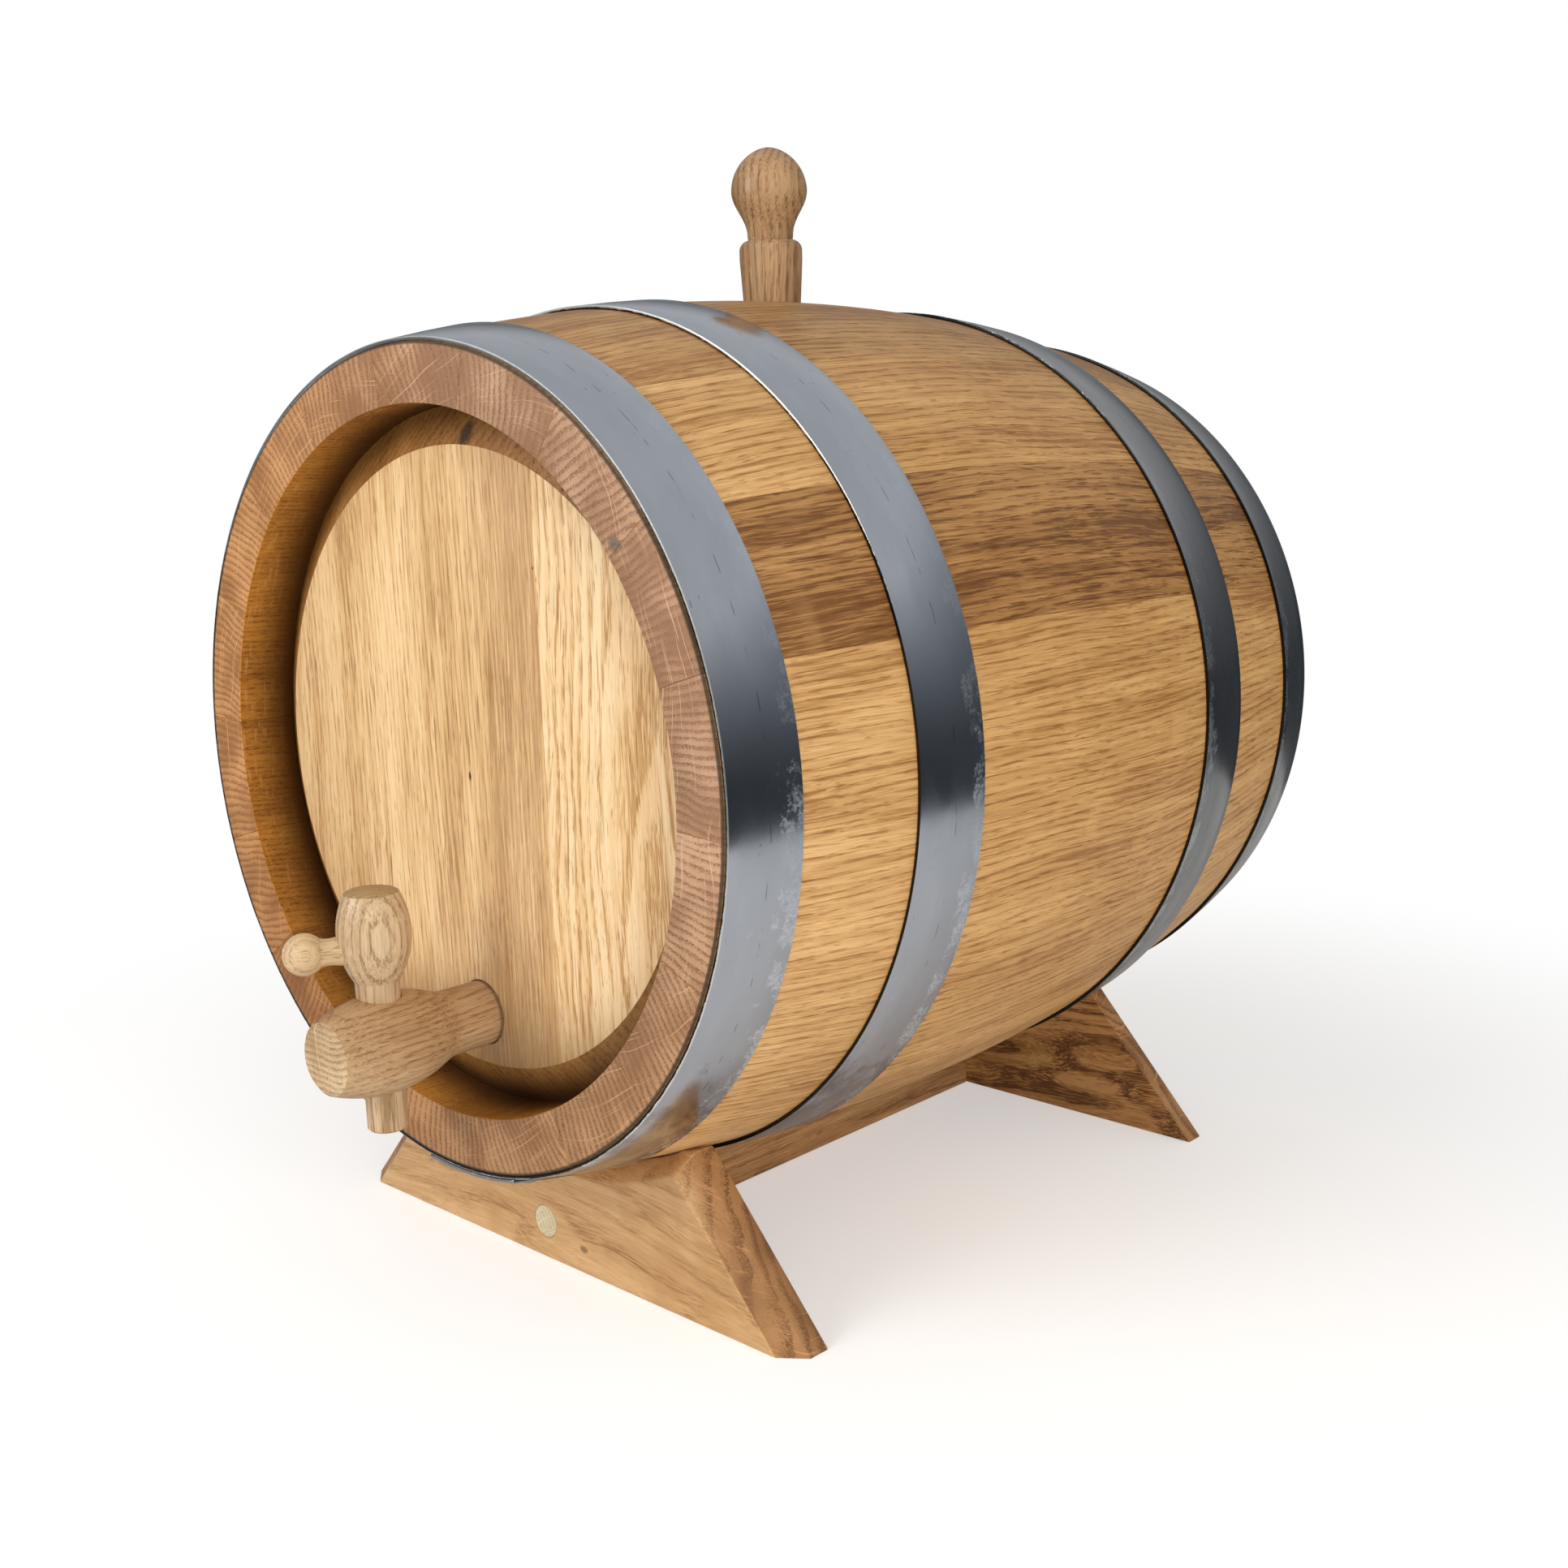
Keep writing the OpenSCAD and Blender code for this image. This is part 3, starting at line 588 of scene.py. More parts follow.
REAR_CRADLE_OAK = oak_finish(
    "rear_cradle_oak", (0.50, 0.260, 0.095), (0.31, 0.140, 0.042), (0.12, 0.046, 0.014),
    (0.44, 0.230, 0.095), (0.23, 0.105, 0.040), **CROSSWISE, log=(10, 40, 26), pitch=5.0, wander=34.0,
    ring=0.7, end_span=(0.42, 0.52))
RAIL_OAK = oak_finish(
    "rail_oak", (0.48, 0.270, 0.115), (0.36, 0.180, 0.070), (0.20, 0.090, 0.032), log=(40, 0, 25),
    pitch=2.6)
DOWEL_BEECH = oak_finish(
    "dowel_beech", (0.74, 0.650, 0.440), (0.66, 0.560, 0.360), (0.54, 0.440, 0.260),
    (0.74, 0.650, 0.440), (0.60, 0.500, 0.310), log=(22, 0, 4), pitch=1.4, ring=0.2, depth=0.4,
    pore=0.2, dash=0.0)
print("oak finishes:", len([m for m in bpy.data.materials if "oak" in m.name]))

# %% [markdown]
# ## Galvanised strip
# The hoops are cut from zinc-coated strip. Zinc is a dull mirror: it is smooth enough to show where
# the table ends, and blotched where its crystals and the cooper's driver left marks. The blotches
# belong in the roughness first, because they change how sharp the mirror is more than its colour.

# %% Steel
def galvanised(name, tint, low_rough, high_rough, bloom, edge_shade=None):
    """Zinc-coated strip. Its `strip` attribute holds, in metres, the place across, along and through it.
    On a cut edge the raw steel shows as a bright line, widened by painted light on top of the front
    hoops; painted shade darkens the edge by the wood, low down and on the hoops further back."""
    material, tree, shader = new_material(name)
    strip = node(tree, "Attribute", {}, attribute_name="strip").outputs["Vector"]
    strip = vector(tree, "MULTIPLY", strip, (1000, 1000, 1000))
    axes = axes_of(tree, strip)
    across, through = axes[0], axes[2]
    cloud = speckle(tree, strip, (0.09, 0.030, 0.1), 4.0, 0.6)
    grit = speckle(tree, strip, (1.3, 1.3, 1.3), 3.0, 0.65)
    scratch = between(tree, speckle(tree, strip, (1.6, 0.30, 1.0), 1.0), 0.77, 0.81)

    # Zinc bloom: ragged pale patches on the half towards the bilge, each one speckled.
    patch = speckle(tree, strip, (0.13, 0.09, 0.1), 8.0, 0.74)
    patch = plus(tree, patch, between(tree, across, -1.0, 9.0, -0.10, 0.12))
    patch = times(tree, between(tree, patch, 0.575, 0.64), bloom)
    patch = times(tree, patch, between(tree, grit, 0.38, 0.62, 0.25, 1.0))
    spot_at = axes_of(tree, node(tree, "TexCoord", {}).outputs["Object"])
    patch = times(tree, patch, between(tree, spot_at["Z"], 130 * MM, 185 * MM, 1.0, 0.12))
    wander = speckle(tree, strip, (0.0, 0.05, 0.1), 2.0)
    crease = calc(tree, "ABSOLUTE", scale_add(tree, wander, -1.6, across))
    crease = between(tree, crease, 0.04, 0.22, 1.0, 0.0)
    broken = between(tree, speckle(tree, strip, (0.1, 0.16, 0.1), 2.0), 0.50, 0.60)
    crease = times(tree, crease, broken)

    base = mix(tree, between(tree, cloud, 0.35, 0.65), colour(*tint), tinted(tint, 0.92))
    base = mix(tree, patch, base, colour(0.82, 0.87, 0.93))
    stain = speckle(tree, strip, (0.16, 0.10, 0.1), 5.0, 0.7)
    stain = plus(tree, stain, between(tree, spot_at["Z"], 25 * MM, 100 * MM, 0.22, -0.25))
    stain = between(tree, stain, 0.42, 0.66)
    base = mix(tree, times(tree, stain, 0.75), base, colour(0.23, 0.205, 0.190))
    marks = calc(tree, "MAXIMUM", times(tree, scratch, 0.55), times(tree, crease, 0.5))
    base = mix(tree, marks, base, colour(0.07, 0.075, 0.085))
    # Raw steel on the edges, with painted light on top and painted shade by the wood, low and behind.
    if edge_shade:
        ragged = speckle(tree, strip, (0.5, 0.35, 0.5), 4.0, 0.7)
        lit_on_top = between(tree, spot_at["Z"], 165 * MM, 215 * MM, 0.0, 0.60)
        behind = plus(tree, between(tree, spot_at["Y"], -105 * MM, -90 * MM, 0.0, -0.34),
                      between(tree, spot_at["Y"], 0.0, 30 * MM, 0.0, -0.51))
        bare_and_lit = plus(tree, plus(tree, lit_on_top, behind), scale_add(tree, ragged, 0.9, through))
        bare_and_lit = between(tree, bare_and_lit, 1.02, 1.16)
        base = mix(tree, bare_and_lit, colour(*edge_shade), base)
    tree.links.new(base, shader.inputs["Base Color"])
    shader.inputs["Metallic"].default_value = 1.0
    rough = between(tree, cloud, 0.35, 0.65, low_rough, high_rough)
    rough = scale_add(tree, grit, 0.04, rough)
    tree.links.new(scale_add(tree, patch, 0.34, rough), shader.inputs["Roughness"])
    wave = speckle(tree, strip, (0.05, 0.03, 0.05), 1.0)
    relief = scale_add(tree, grit, 0.10, times(tree, wave, 5.0))
    relief = scale_add(tree, marks, -0.8, relief)
    bump = node(tree, "Bump", {"Strength": 0.5, "Distance": 0.05 * MM, "Height": relief})
    tree.links.new(bump.outputs[0], shader.inputs["Normal"])
    return material


HOOP_STEEL = galvanised("hoop_steel", (0.530, 0.565, 0.622), 0.13, 0.18, 0.9)
# The rear hoops' steel is darker: painted shade.
SHADED_REAR_HOOP_STEEL = galvanised("shaded_rear_hoop_steel", (0.37, 0.378, 0.385), 0.18, 0.30, 0.6)
# The cut edges: a pale raw-steel line, and near-black painted shade.
EDGE_STEEL = galvanised("edge_steel", (0.92, 0.93, 0.91), 0.30, 0.42, 0.3, (0.035, 0.036, 0.034))
RIVET_STEEL = galvanised("rivet_steel", (0.42, 0.44, 0.47), 0.25, 0.38, 0.0)
print("steel finishes:", len([m for m in bpy.data.materials if "steel" in m.name]))

# %% [markdown]
# ## Workshop helpers
# Most pieces here are turned or bent round the cask's axis, so the main tool is a lathe: draw half a
# section, spin it. `soften` breaks the arrises, since a perfectly sharp edge catches no light and
# looks false. `drill` cuts a hole with another mesh, which is how the real holes are made.

# %% Workshop helpers
CONVEX, SHARP_FROM = 0.6, 32


def arc(centre, radius, start, end, steps):
    """Points of an arc (degrees), as (radius, height) pairs in millimetres."""
    turns = [math.radians(start + (end - start) * i / steps) for i in range(steps + 1)]
    return [(centre[0] + radius * math.cos(a), centre[1] + radius * math.sin(a)) for a in turns]


def arc_radius(half_chord, rise):
    """Radius of the arc with this half chord and this rise."""
    return (half_chord**2 + rise**2) / (2 * rise)


def shift(x, y, z):
    """The matrix of a move in millimetres."""
    return Matrix.Translation((x * MM, y * MM, z * MM))


def move(bm, matrix):
    """Moves all of a mesh."""
    bmesh.ops.transform(bm, matrix=matrix, verts=bm.verts[:])


def join(bm, other):
    """Adds another mesh to `bm` and lets go of it."""
    extra = bpy.data.meshes.new("extra")
    other.to_mesh(extra)
    other.free()
    bm.from_mesh(extra)
    bpy.data.meshes.remove(extra)


def draw(outline, closed):
    """A bmesh with a half section, x as the radius and z as the height, in metres."""
    bm = bmesh.new()
    points = [bm.verts.new((r * MM, 0, h * MM)) for r, h in outline]
    for first, second in zip(points, points[1:]):
        bm.edges.new((first, second))
    if closed:
        bm.edges.new((points[-1], points[0]))
    return bm


def spin(bm, degrees, steps):
    """Turns what is drawn about the Z axis. A full turn closes on itself."""
    geom = bm.verts[:] + bm.edges[:] + bm.faces[:]
    bmesh.ops.spin(
        bm, geom=geom, cent=(0, 0, 0), axis=(0, 0, 1), dvec=(0, 0, 0), angle=math.radians(degrees),
        steps=steps, use_merge=degrees == 360, use_duplicate=False)
    bmesh.ops.remove_doubles(bm, verts=bm.verts[:], dist=0.001 * MM)
    bmesh.ops.recalc_face_normals(bm, faces=bm.faces[:])
    return bm


def turned(outline, steps=96):
    """A piece from the lathe: its outline starts and ends on the axis."""
    return spin(draw(outline, closed=False), 360, steps)


def soften(bm, width, segments, chosen=lambda e: True):
    """Rounds the convex edges that `chosen` picks, by a width in millimetres."""
    arrises = [e for e in bm.edges if e.is_manifold and e.calc_face_angle_signed(0) > CONVEX]
    bmesh.ops.bevel(
        bm, geom=[e for e in arrises if chosen(e)], offset=width * MM, offset_type="OFFSET",
        segments=segments, profile=0.5, affect="EDGES", material=-1, clamp_overlap=True)


def drill(bm, cutter):
    """Cuts `cutter` out of `bm` and returns the result."""
    holders = []
    for name, source in (("drilled", bm), ("drill", cutter)):
        mesh = bpy.data.meshes.new(name)
        source.to_mesh(mesh)
        source.free()
        holders.append(bpy.data.objects.new(name, mesh))
        scene.collection.objects.link(holders[-1])
    hole = holders[0].modifiers.new("hole", "BOOLEAN")
    hole.operation = "DIFFERENCE"
    hole.solver = "EXACT"
    hole.object = holders[1]
    done = bmesh.new()
    done.from_object(holders[0], bpy.context.evaluated_depsgraph_get())
    for holder in holders:
        bpy.data.meshes.remove(holder.data)
    return done


def hand_over(bm, name, materials, body, place=None):
    """Makes the finished mesh a piece that rides on its body and stands for the node of its name."""
    if place:
        move(bm, place)
    mesh = bpy.data.meshes.new(name)
    for face in bm.faces:
        face.smooth = True
    bm.to_mesh(mesh)
    bm.free()
    mesh.set_sharp_from_angle(angle=math.radians(SHARP_FROM))
    for material in materials:
        mesh.materials.append(material)
    piece = bpy.data.objects.new(name, mesh)
    scene.collection.objects.link(piece)
    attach(piece, body)
    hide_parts(name.removeprefix("visual_"))


# %% [markdown]
# ## The cask's shape
# In side view the outside of the staves is one long arc, and the hollow inside is another. All that
# sits on the staves is placed from that arc, so we write it once. The cask's axis lies along Y, and
# the lathe turns about Z, so `ON_AXIS` lays a turned piece down.

# %% Cask shape
HALF_LENGTH = 119.0
CHIME_R, BILGE_R, HOWEL_R, INNER_BILGE_R = 96.5, 109.4, 83.2, 97.4
HOWEL_Y = 93.0
OUTER_ARC_R = arc_radius(HALF_LENGTH, BILGE_R - CHIME_R)
INNER_ARC_R = arc_radius(HOWEL_Y, INNER_BILGE_R - HOWEL_R)
LAID_DOWN = rotation(-90, "X")
ON_AXIS = shift(0, 0, AXIS_Z) @ LAID_DOWN


def cask_r(y):
    """Radius of the wood's outside at a station y."""
    return math.sqrt(OUTER_ARC_R**2 - y * y) - OUTER_ARC_R + BILGE_R


def cask_slope(y):
    """Slope of the wood's outside there, in radians."""
    return math.asin(y / OUTER_ARC_R)


print("stave arc radius in mm:", round(OUTER_ARC_R, 1))

# %% [markdown]
# ## Staves
# A stave is a bent board, wide at the bilge and narrow at the chimes, with a groove near each end for
# the head. Cutting it from a straight board would be the cooper's way. The surface is the same if we
# spin the section of the whole wall by one stave's angle, and neighbours then fit without a gap.
#
# The grain bends with the stave, so object coordinates won't do. Each vertex stores where it lay in
# the log: across, along and through the board, with the depth measured from the stave's outside.
# Staves are sawn with the rays nearly in the face, and each comes from its own place in the tree, so
# the log is turned and shifted for each one. A seed fixes these draws, so each run saws the same tree.

# %% Stave section
GROOVE_R, GROOVE_IN, GROOVE_OUT = 86.2, 99.0, 103.2
STAVES, STAVE_ANGLE, FIRST_SEAM = 18, 20, -7


def stave_section():
    """Half section of the staves, as (radius, station) pairs."""
    outside = [(cask_r(y), y) for y in (HALF_LENGTH * i / 24 for i in range(-24, 25))]
    hollow = [(math.sqrt(INNER_ARC_R**2 - y * y) - INNER_ARC_R + INNER_BILGE_R, y)
              for y in (HOWEL_Y * i / 12 for i in range(12, -13, -1))]
    rear = [(HOWEL_R, HALF_LENGTH), (HOWEL_R, GROOVE_OUT), (GROOVE_R, GROOVE_OUT),
            (GROOVE_R, GROOVE_IN), (HOWEL_R, GROOVE_IN)]
    front = [(r, -y) for r, y in reversed(rear)]
    return outside + rear + hollow + front


print("points in a stave's section:", len(stave_section()))

# %% Timber coordinates
MEAN_R = 0.104


def lay_in_log(bm, middle, tilt, pith, shift, tone):
    """Stores each vertex's place in the log, for a stave whose middle is at an angle (degrees)."""
    layer = bm.verts.layers.float_vector.new("timber")
    tone_layer = bm.verts.layers.float.new("tone")
    slant = Matrix.Rotation(math.radians(tilt), 2)
    for vert in bm.verts:
        angle = math.atan2(vert.co.y, vert.co.x) - math.radians(middle)
        angle = (angle + math.pi) % math.tau - math.pi
        radius = math.hypot(vert.co.x, vert.co.y)
        across, through = slant @ Vector((angle * MEAN_R, radius - cask_r(vert.co.z / MM) * MM))
        vert[layer] = (pith + across, vert.co.z + shift, through)
        vert[tone_layer] = tone


# %% Make the staves
BUNG_Y, BUNG_HOLE_Z = 1.5, 241.8
BUNG_HOLE = [(0, -20), (7.2, -20), (8.6, 12), (0, 12)]
BORED_STAVE, DARK_STAVE = 1, 4
# Where the howel walls' oak goes, with its painted shade.
HOWEL_WALL_R, HOWEL_WALL_END = 86.3, 118.8
SAW_TILT, PITH_AWAY, PITH_SPREAD, LOG_STEP, TONE_SPREAD = 40, 0.068, 0.04, 0.37, 0.2
TREE_SEED = 1795578332
# Each stave's tone. Staves 1, 2 and 18, on top, are darker as painted shade.
TONE_AND_TOP_SHADE = {1: 0.56, 2: 0.50, 3: 0.10, 4: 0.32, 5: 0.20, 6: 0.03, 7: 0.07, 18: 0.48}
for k in range(1, STAVES + 1):
    start = FIRST_SEAM - 90 + (k - 1) * STAVE_ANGLE
    bm = draw(stave_section(), closed=True)
    bmesh.ops.contextual_create(bm, geom=bm.edges[:])
    move(bm, rotation(start, "Z"))
    spin(bm, STAVE_ANGLE, 12)
    ends = HALF_LENGTH * MM * 0.9999
    soften(bm, 0.14, 1, lambda e: not all(abs(v.co.z) > ends for v in e.verts))
    soften(bm, 0.3, 2, lambda e: all(abs(v.co.z) > ends for v in e.verts))
    if k == BORED_STAVE:
        bit = turned(BUNG_HOLE, 48)
        move(bit, ON_AXIS.inverted() @ shift(0, BUNG_Y, BUNG_HOLE_Z))
        bm = drill(bm, bit)
    noise.seed_set(TREE_SEED)
    chance = noise.noise_vector(Vector((k * 3.7, 0.5, 0)))
    tone = TONE_SPREAD * chance.z + TONE_AND_TOP_SHADE.get(k, 0)
    pith = PITH_AWAY + PITH_SPREAD * chance.y
    lay_in_log(bm, start + STAVE_ANGLE / 2, SAW_TILT * chance.x, pith, LOG_STEP * k, tone)
    for face in bm.faces:
        middle = face.calc_center_median()
        by_head = HOWEL_Y * MM < abs(middle.z) < HOWEL_WALL_END * MM
        face.material_index = int(by_head and math.hypot(middle.x, middle.y) < HOWEL_WALL_R * MM)
    wood = [DARK_STAVE_OAK if k == DARK_STAVE else STAVE_OAK, TOASTED_SHADED_OAK]
    hand_over(bm, f"visual_stave_{k:02d}", wood, "cask", place=ON_AXIS)

# %% [markdown]
# ## Heads
# A head is three boards edge to edge, turned as one disc: flat in the middle, bevelled at the rim, and
# with a tongue that sits in the groove. We do it in the same order: turn the whole disc, then saw it
# along the two joints with `bisect_plane`, and close the cuts.

# %% Make the heads
HEAD_FACE_Y, HEAD_T, MIDDLE_HALF = 108.0, 11.0, 29.0
FLAT_R, REAR_FLAT_R, RIM_R, TONGUE_R = 74, 77.1, 83.1, 86.1
TONGUE_OUT, TONGUE_IN = -4.9, -8.9
HEAD_OUTLINE = [
    (0, 0), (FLAT_R, 0), (RIM_R, TONGUE_OUT), (TONGUE_R, TONGUE_OUT),
    (TONGUE_R, TONGUE_IN), (RIM_R, TONGUE_IN), (REAR_FLAT_R, -HEAD_T), (0, -HEAD_T)]
BEVEL_FROM_R = 74.1
SPIGOT_HOLE = [(0, -119), (8.45, -119), (7.6, -90), (0, -90)]
SPIGOT_Z = 71.0
ON_SPIGOT = shift(0, 0, SPIGOT_Z) @ LAID_DOWN


HEAD_CUTS = {-1: [(-MIDDLE_HALF, 1)], 0: [(-MIDDLE_HALF, -1), (MIDDLE_HALF, 1)], 1: [(MIDDLE_HALF, -1)]}


def at_joint(edge):
    """Whether an edge lies in one of the two sawn joints."""
    first, second = edge.verts
    touching = any(abs(abs(v.co.x) - MIDDLE_HALF * MM) < 1e-6 for v in edge.verts)
    return touching and round(first.co.x, 6) == round(second.co.x, 6)


def head_board(side, part):
    """One board of a head. side is -1 at the front; part is -1, 0 or 1 from -X to +X."""
    bm = turned(HEAD_OUTLINE, 128)
    rim = [e for e in bm.edges if not any(v.co.length < 0.001 for v in e.verts)]
    soften(bm, 0.4, 2, lambda e: e in rim)
    move(bm, shift(0, side * HEAD_FACE_Y, AXIS_Z) @ rotation(-90 * side, "X"))
    for x, away in HEAD_CUTS[part]:
        geom = bm.verts[:] + bm.edges[:] + bm.faces[:]
        cut = bmesh.ops.bisect_plane(
            bm, geom=geom, plane_co=(x * MM, 0, 0), plane_no=(away, 0, 0), clear_outer=True)
        sawn = [e for e in cut["geom_cut"] if isinstance(e, bmesh.types.BMEdge)]
        bmesh.ops.holes_fill(bm, edges=sawn, sides=0)
    bmesh.ops.recalc_face_normals(bm, faces=bm.faces[:])
    soften(bm, 0.12, 1, at_joint)
    return bm


for side, end in ((-1, "front"), (1, "rear")):
    for part, where in ((-1, "left"), (0, "middle"), (1, "right")):
        bm = head_board(side, part)
        if side < 0 and part == 0:
            bit = turned(SPIGOT_HOLE, 64)
            move(bit, ON_SPIGOT)
            bm = drill(bm, bit)
        for face in bm.faces:
            middle = face.calc_center_median()
            from_axis = math.hypot(middle.x, middle.z - AXIS_Z * MM)
            face.material_index = int(from_axis > BEVEL_FROM_R * MM)
        wood = [HEAD_OAK_RIGHT if part == 1 else HEAD_OAK, RIM_OAK]
        hand_over(bm, f"visual_{end}_head_{where}", wood, "cask")
print("head boards:", 2 * len(HEAD_CUTS))

# %% [markdown]
# ## Hoops
# A hoop is a strip bent into a ring, splayed to lie flat on the wood, and riveted where its ends lap.
# Driving it on leaves a faint crease along it. The ring and the lap are two spins of nearly the same
# section: the lap's section lies one thickness further out. The cut edges are paler than the faces,
# with painted light on top and painted shade by the wood, so they get their own finish.

# %% Make the hoops
HOOP_T, HOOP_PLAY = 1.0, 0.02
HOOPS = {
    "front_head_hoop": (-109.45, 18.5),
    "front_quarter_hoop": (-59.3, 20.0),
    "rear_quarter_hoop": (55.5, 20.0),
    "rear_head_hoop": (109.45, 18.5),
}
LAP_LENGTH, LAP_MIDDLE, RIVET_PITCH = 33.0, 90 - 3.5, 20.0
CREASE, CREASE_RISE = 0.05, 0.12
STRIP_ROUND = 0.22
STRIP_R = 0.1


def strip_section(y, width, lift):
    """Section of a strip that lies on the wood at station y, raised by `lift`."""
    slope = cask_slope(y)
    along = Vector((-math.sin(slope), math.cos(slope)))
    out = Vector((math.cos(slope), math.sin(slope)))
    origin = Vector((cask_r(y), y))
    low, high = HOOP_PLAY + lift, HOOP_PLAY + lift + HOOP_T
    corners = [(-width / 2, low), (width / 2, low), (width / 2, high - CREASE_RISE),
               (CREASE * width, high), (-width / 2, high - 0.10)]
    return [tuple(origin + along * a + out * o) for a, o in corners]


def lap_angle(length):
    """Angle along a hoop, in degrees."""
    return math.degrees(length / (CHIME_R + HOOP_T))


def hoop(y, width):
    """The closed ring of strip, with the lap over it."""
    ring = spin(draw(strip_section(y, width, 0), closed=True), 360, 432)
    soften(ring, STRIP_ROUND, 2)
    lap = draw(strip_section(y, width, HOOP_T - 0.01), closed=True)
    bmesh.ops.contextual_create(lap, geom=lap.edges[:])
    move(lap, rotation(LAP_MIDDLE - lap_angle(LAP_LENGTH) / 2, "Z"))
    spin(lap, lap_angle(LAP_LENGTH), 16)
    soften(lap, STRIP_ROUND, 2)
    join(ring, lap)
    return ring


def measure_strip(bm, y):
    """Stores each vertex's place across, along and through the strip, with the join under the lap."""
    layer = bm.verts.layers.float_vector.new("strip")
    slope = cask_slope(y)
    for vert in bm.verts:
        radius = math.hypot(vert.co.x, vert.co.y)
        along, out = vert.co.z - y * MM, radius - cask_r(y) * MM
        across = along * math.cos(slope) - out * math.sin(slope)
        through = out * math.cos(slope) + along * math.sin(slope)
        angle = (math.atan2(vert.co.y, vert.co.x) - math.radians(LAP_MIDDLE)) % math.tau
        vert[layer] = (-across if y > 0 else across, angle * STRIP_R + 3 * y * MM, through)


for name, (y, width) in HOOPS.items():
    bm = hoop(y, width)
    measure_strip(bm, y)
    for face in bm.faces:
        face.material_index = int(abs(face.normal.z) > 0.5)
    steel = [HOOP_STEEL if y < 0 else SHADED_REAR_HOOP_STEEL, EDGE_STEEL]
    hand_over(bm, f"visual_{name}", steel, "cask", place=ON_AXIS)
print("hoops:", ", ".join(HOOPS))

# %% Rivets
RIVET_R, RIVET_H, SHANK_FOOT, RIVET_SHANK_R = 2.8, 1.2, 0.1, 1.4


def rivet():
    """A domed head on a short shank, standing on the wood."""
    base = 2 * HOOP_T + 0.06
    dome_r = arc_radius(RIVET_R, RIVET_H)
    half = math.degrees(math.asin(RIVET_R / dome_r))
    dome = arc((0, base + RIVET_H - dome_r), dome_r, 90 - half, 90, 6)
    shank = [(0, SHANK_FOOT), (RIVET_SHANK_R, SHANK_FOOT), (RIVET_SHANK_R, base)]
    return turned([*shank, *dome[:-1], (0, base + RIVET_H)], 24)


rivets = bmesh.new()
for y, _ in HOOPS.values():
    for end in (-1, 1):
        one = rivet()
        round_to = rotation(LAP_MIDDLE + end * lap_angle(RIVET_PITCH) / 2, "Z")
        upright = Matrix.Rotation(math.pi / 2 - cask_slope(y), 4, "Y")
        move(one, round_to @ shift(cask_r(y), 0, y) @ upright)
        join(rivets, one)
measure_strip(rivets, 0)
print("rivets:", 2 * len(HOOPS), "- faces:", len(rivets.faces))
hand_over(rivets, "visual_hoop_rivets", [RIVET_STEEL], "cask", place=ON_AXIS)

# %% [markdown]
# ## Bung
# The bung is turned from a square of oak: a tapered shank, a shouldered collar, a neck and a knob. A
# lathe outline gives all of it in one go. The knob isn't a ball: it is an egg, a little pointed at
# the top, that runs down into the neck without a corner. So it is written as one curve by height.

# %% Make the bung
BUNG_BASE_Z = 241.79
KNOB_R, KNOB_TOP, WIDEST_H, NECK_R, NECK_H = 10.1, 40.2, 29.0, 6.1, 17.3


def knob_radius(height):
    """Radius of the egg-shaped knob at a height in millimetres above the bung's base."""
    if height > WIDEST_H:
        return KNOB_R * max(0.0, 1 - ((height - WIDEST_H) / (KNOB_TOP - WIDEST_H)) ** 2) ** 0.57
    fall = 0.5 - 0.5 * math.cos(math.pi * (height - NECK_H) / (WIDEST_H - NECK_H))
    return NECK_R + (KNOB_R - NECK_R) * fall**1.15


lower = [NECK_H + (WIDEST_H - NECK_H) * i / 20 for i in range(21)]
upper = [WIDEST_H + (KNOB_TOP - WIDEST_H) * math.sin(math.pi * i / 48) for i in range(1, 25)]
bung_outline = [(0, -15), (7.25, -15), (7.7, 0), (8.4, 11.4)]
bung_outline += arc((5.8, 13.8), 2.6, 0, 90, 8)
bung_outline += [(5.95, 16.4), (6.0, 16.9)]
bung_outline += [(knob_radius(h), h) for h in lower + upper]
bung_place = shift(0, BUNG_Y, BUNG_BASE_Z)
hand_over(turned(bung_outline), "visual_bung", [BUNG_OAK], "bung", place=bung_place)
print("bung height in mm:", KNOB_TOP - bung_outline[0][1])

# %% [markdown]
# ## Spigot, key and peg
# The spigot's body is turned along its own axis, and the key stands across it. The key is turned too,
# so the joint is a round hole that has to be bored through the belly: that edge is what makes the
# two read as separate pieces. The peg is turned and pushed into the key's side.

# %% Make the spigot body
KEY_Y, FRONT_Y = -137.0, -152.7
BELLY_R, FRONT_R, SPIGOT_NECK_R, ROOT_R, HOLLOW_ARC = 11.8, 8.2, 7.9, 7.3, 12.0
ROOT_END_Y, WATERWAY_R = -91, 2.5
KEY_HOLE = [(0, -20), (4.75, -20), (5.35, 20), (0, 20)]
AT_KEY = shift(0, KEY_Y, SPIGOT_Z)
BELLY_ARC = arc_radius(KEY_Y - FRONT_Y, BELLY_R - FRONT_R)
belly_centre = BELLY_R - BELLY_ARC
hollow_centre = SPIGOT_NECK_R + HOLLOW_ARC
hollow_centre_y = KEY_Y + math.sqrt((BELLY_ARC + HOLLOW_ARC) ** 2 - (hollow_centre - belly_centre) ** 2)
lean = math.degrees(math.asin((hollow_centre_y - KEY_Y) / (BELLY_ARC + HOLLOW_ARC)))
start = -math.degrees(math.asin((KEY_Y - FRONT_Y) / BELLY_ARC))
spigot_outline = [(0, FRONT_Y), (FRONT_R - 0.7, FRONT_Y), (FRONT_R - 0.1, FRONT_Y + 0.5)]
spigot_outline += arc((belly_centre, KEY_Y), BELLY_ARC, start + 1.4, lean, 28)
spigot_outline += arc((hollow_centre, hollow_centre_y), HOLLOW_ARC, 180 + lean, 180, 10)[1:]
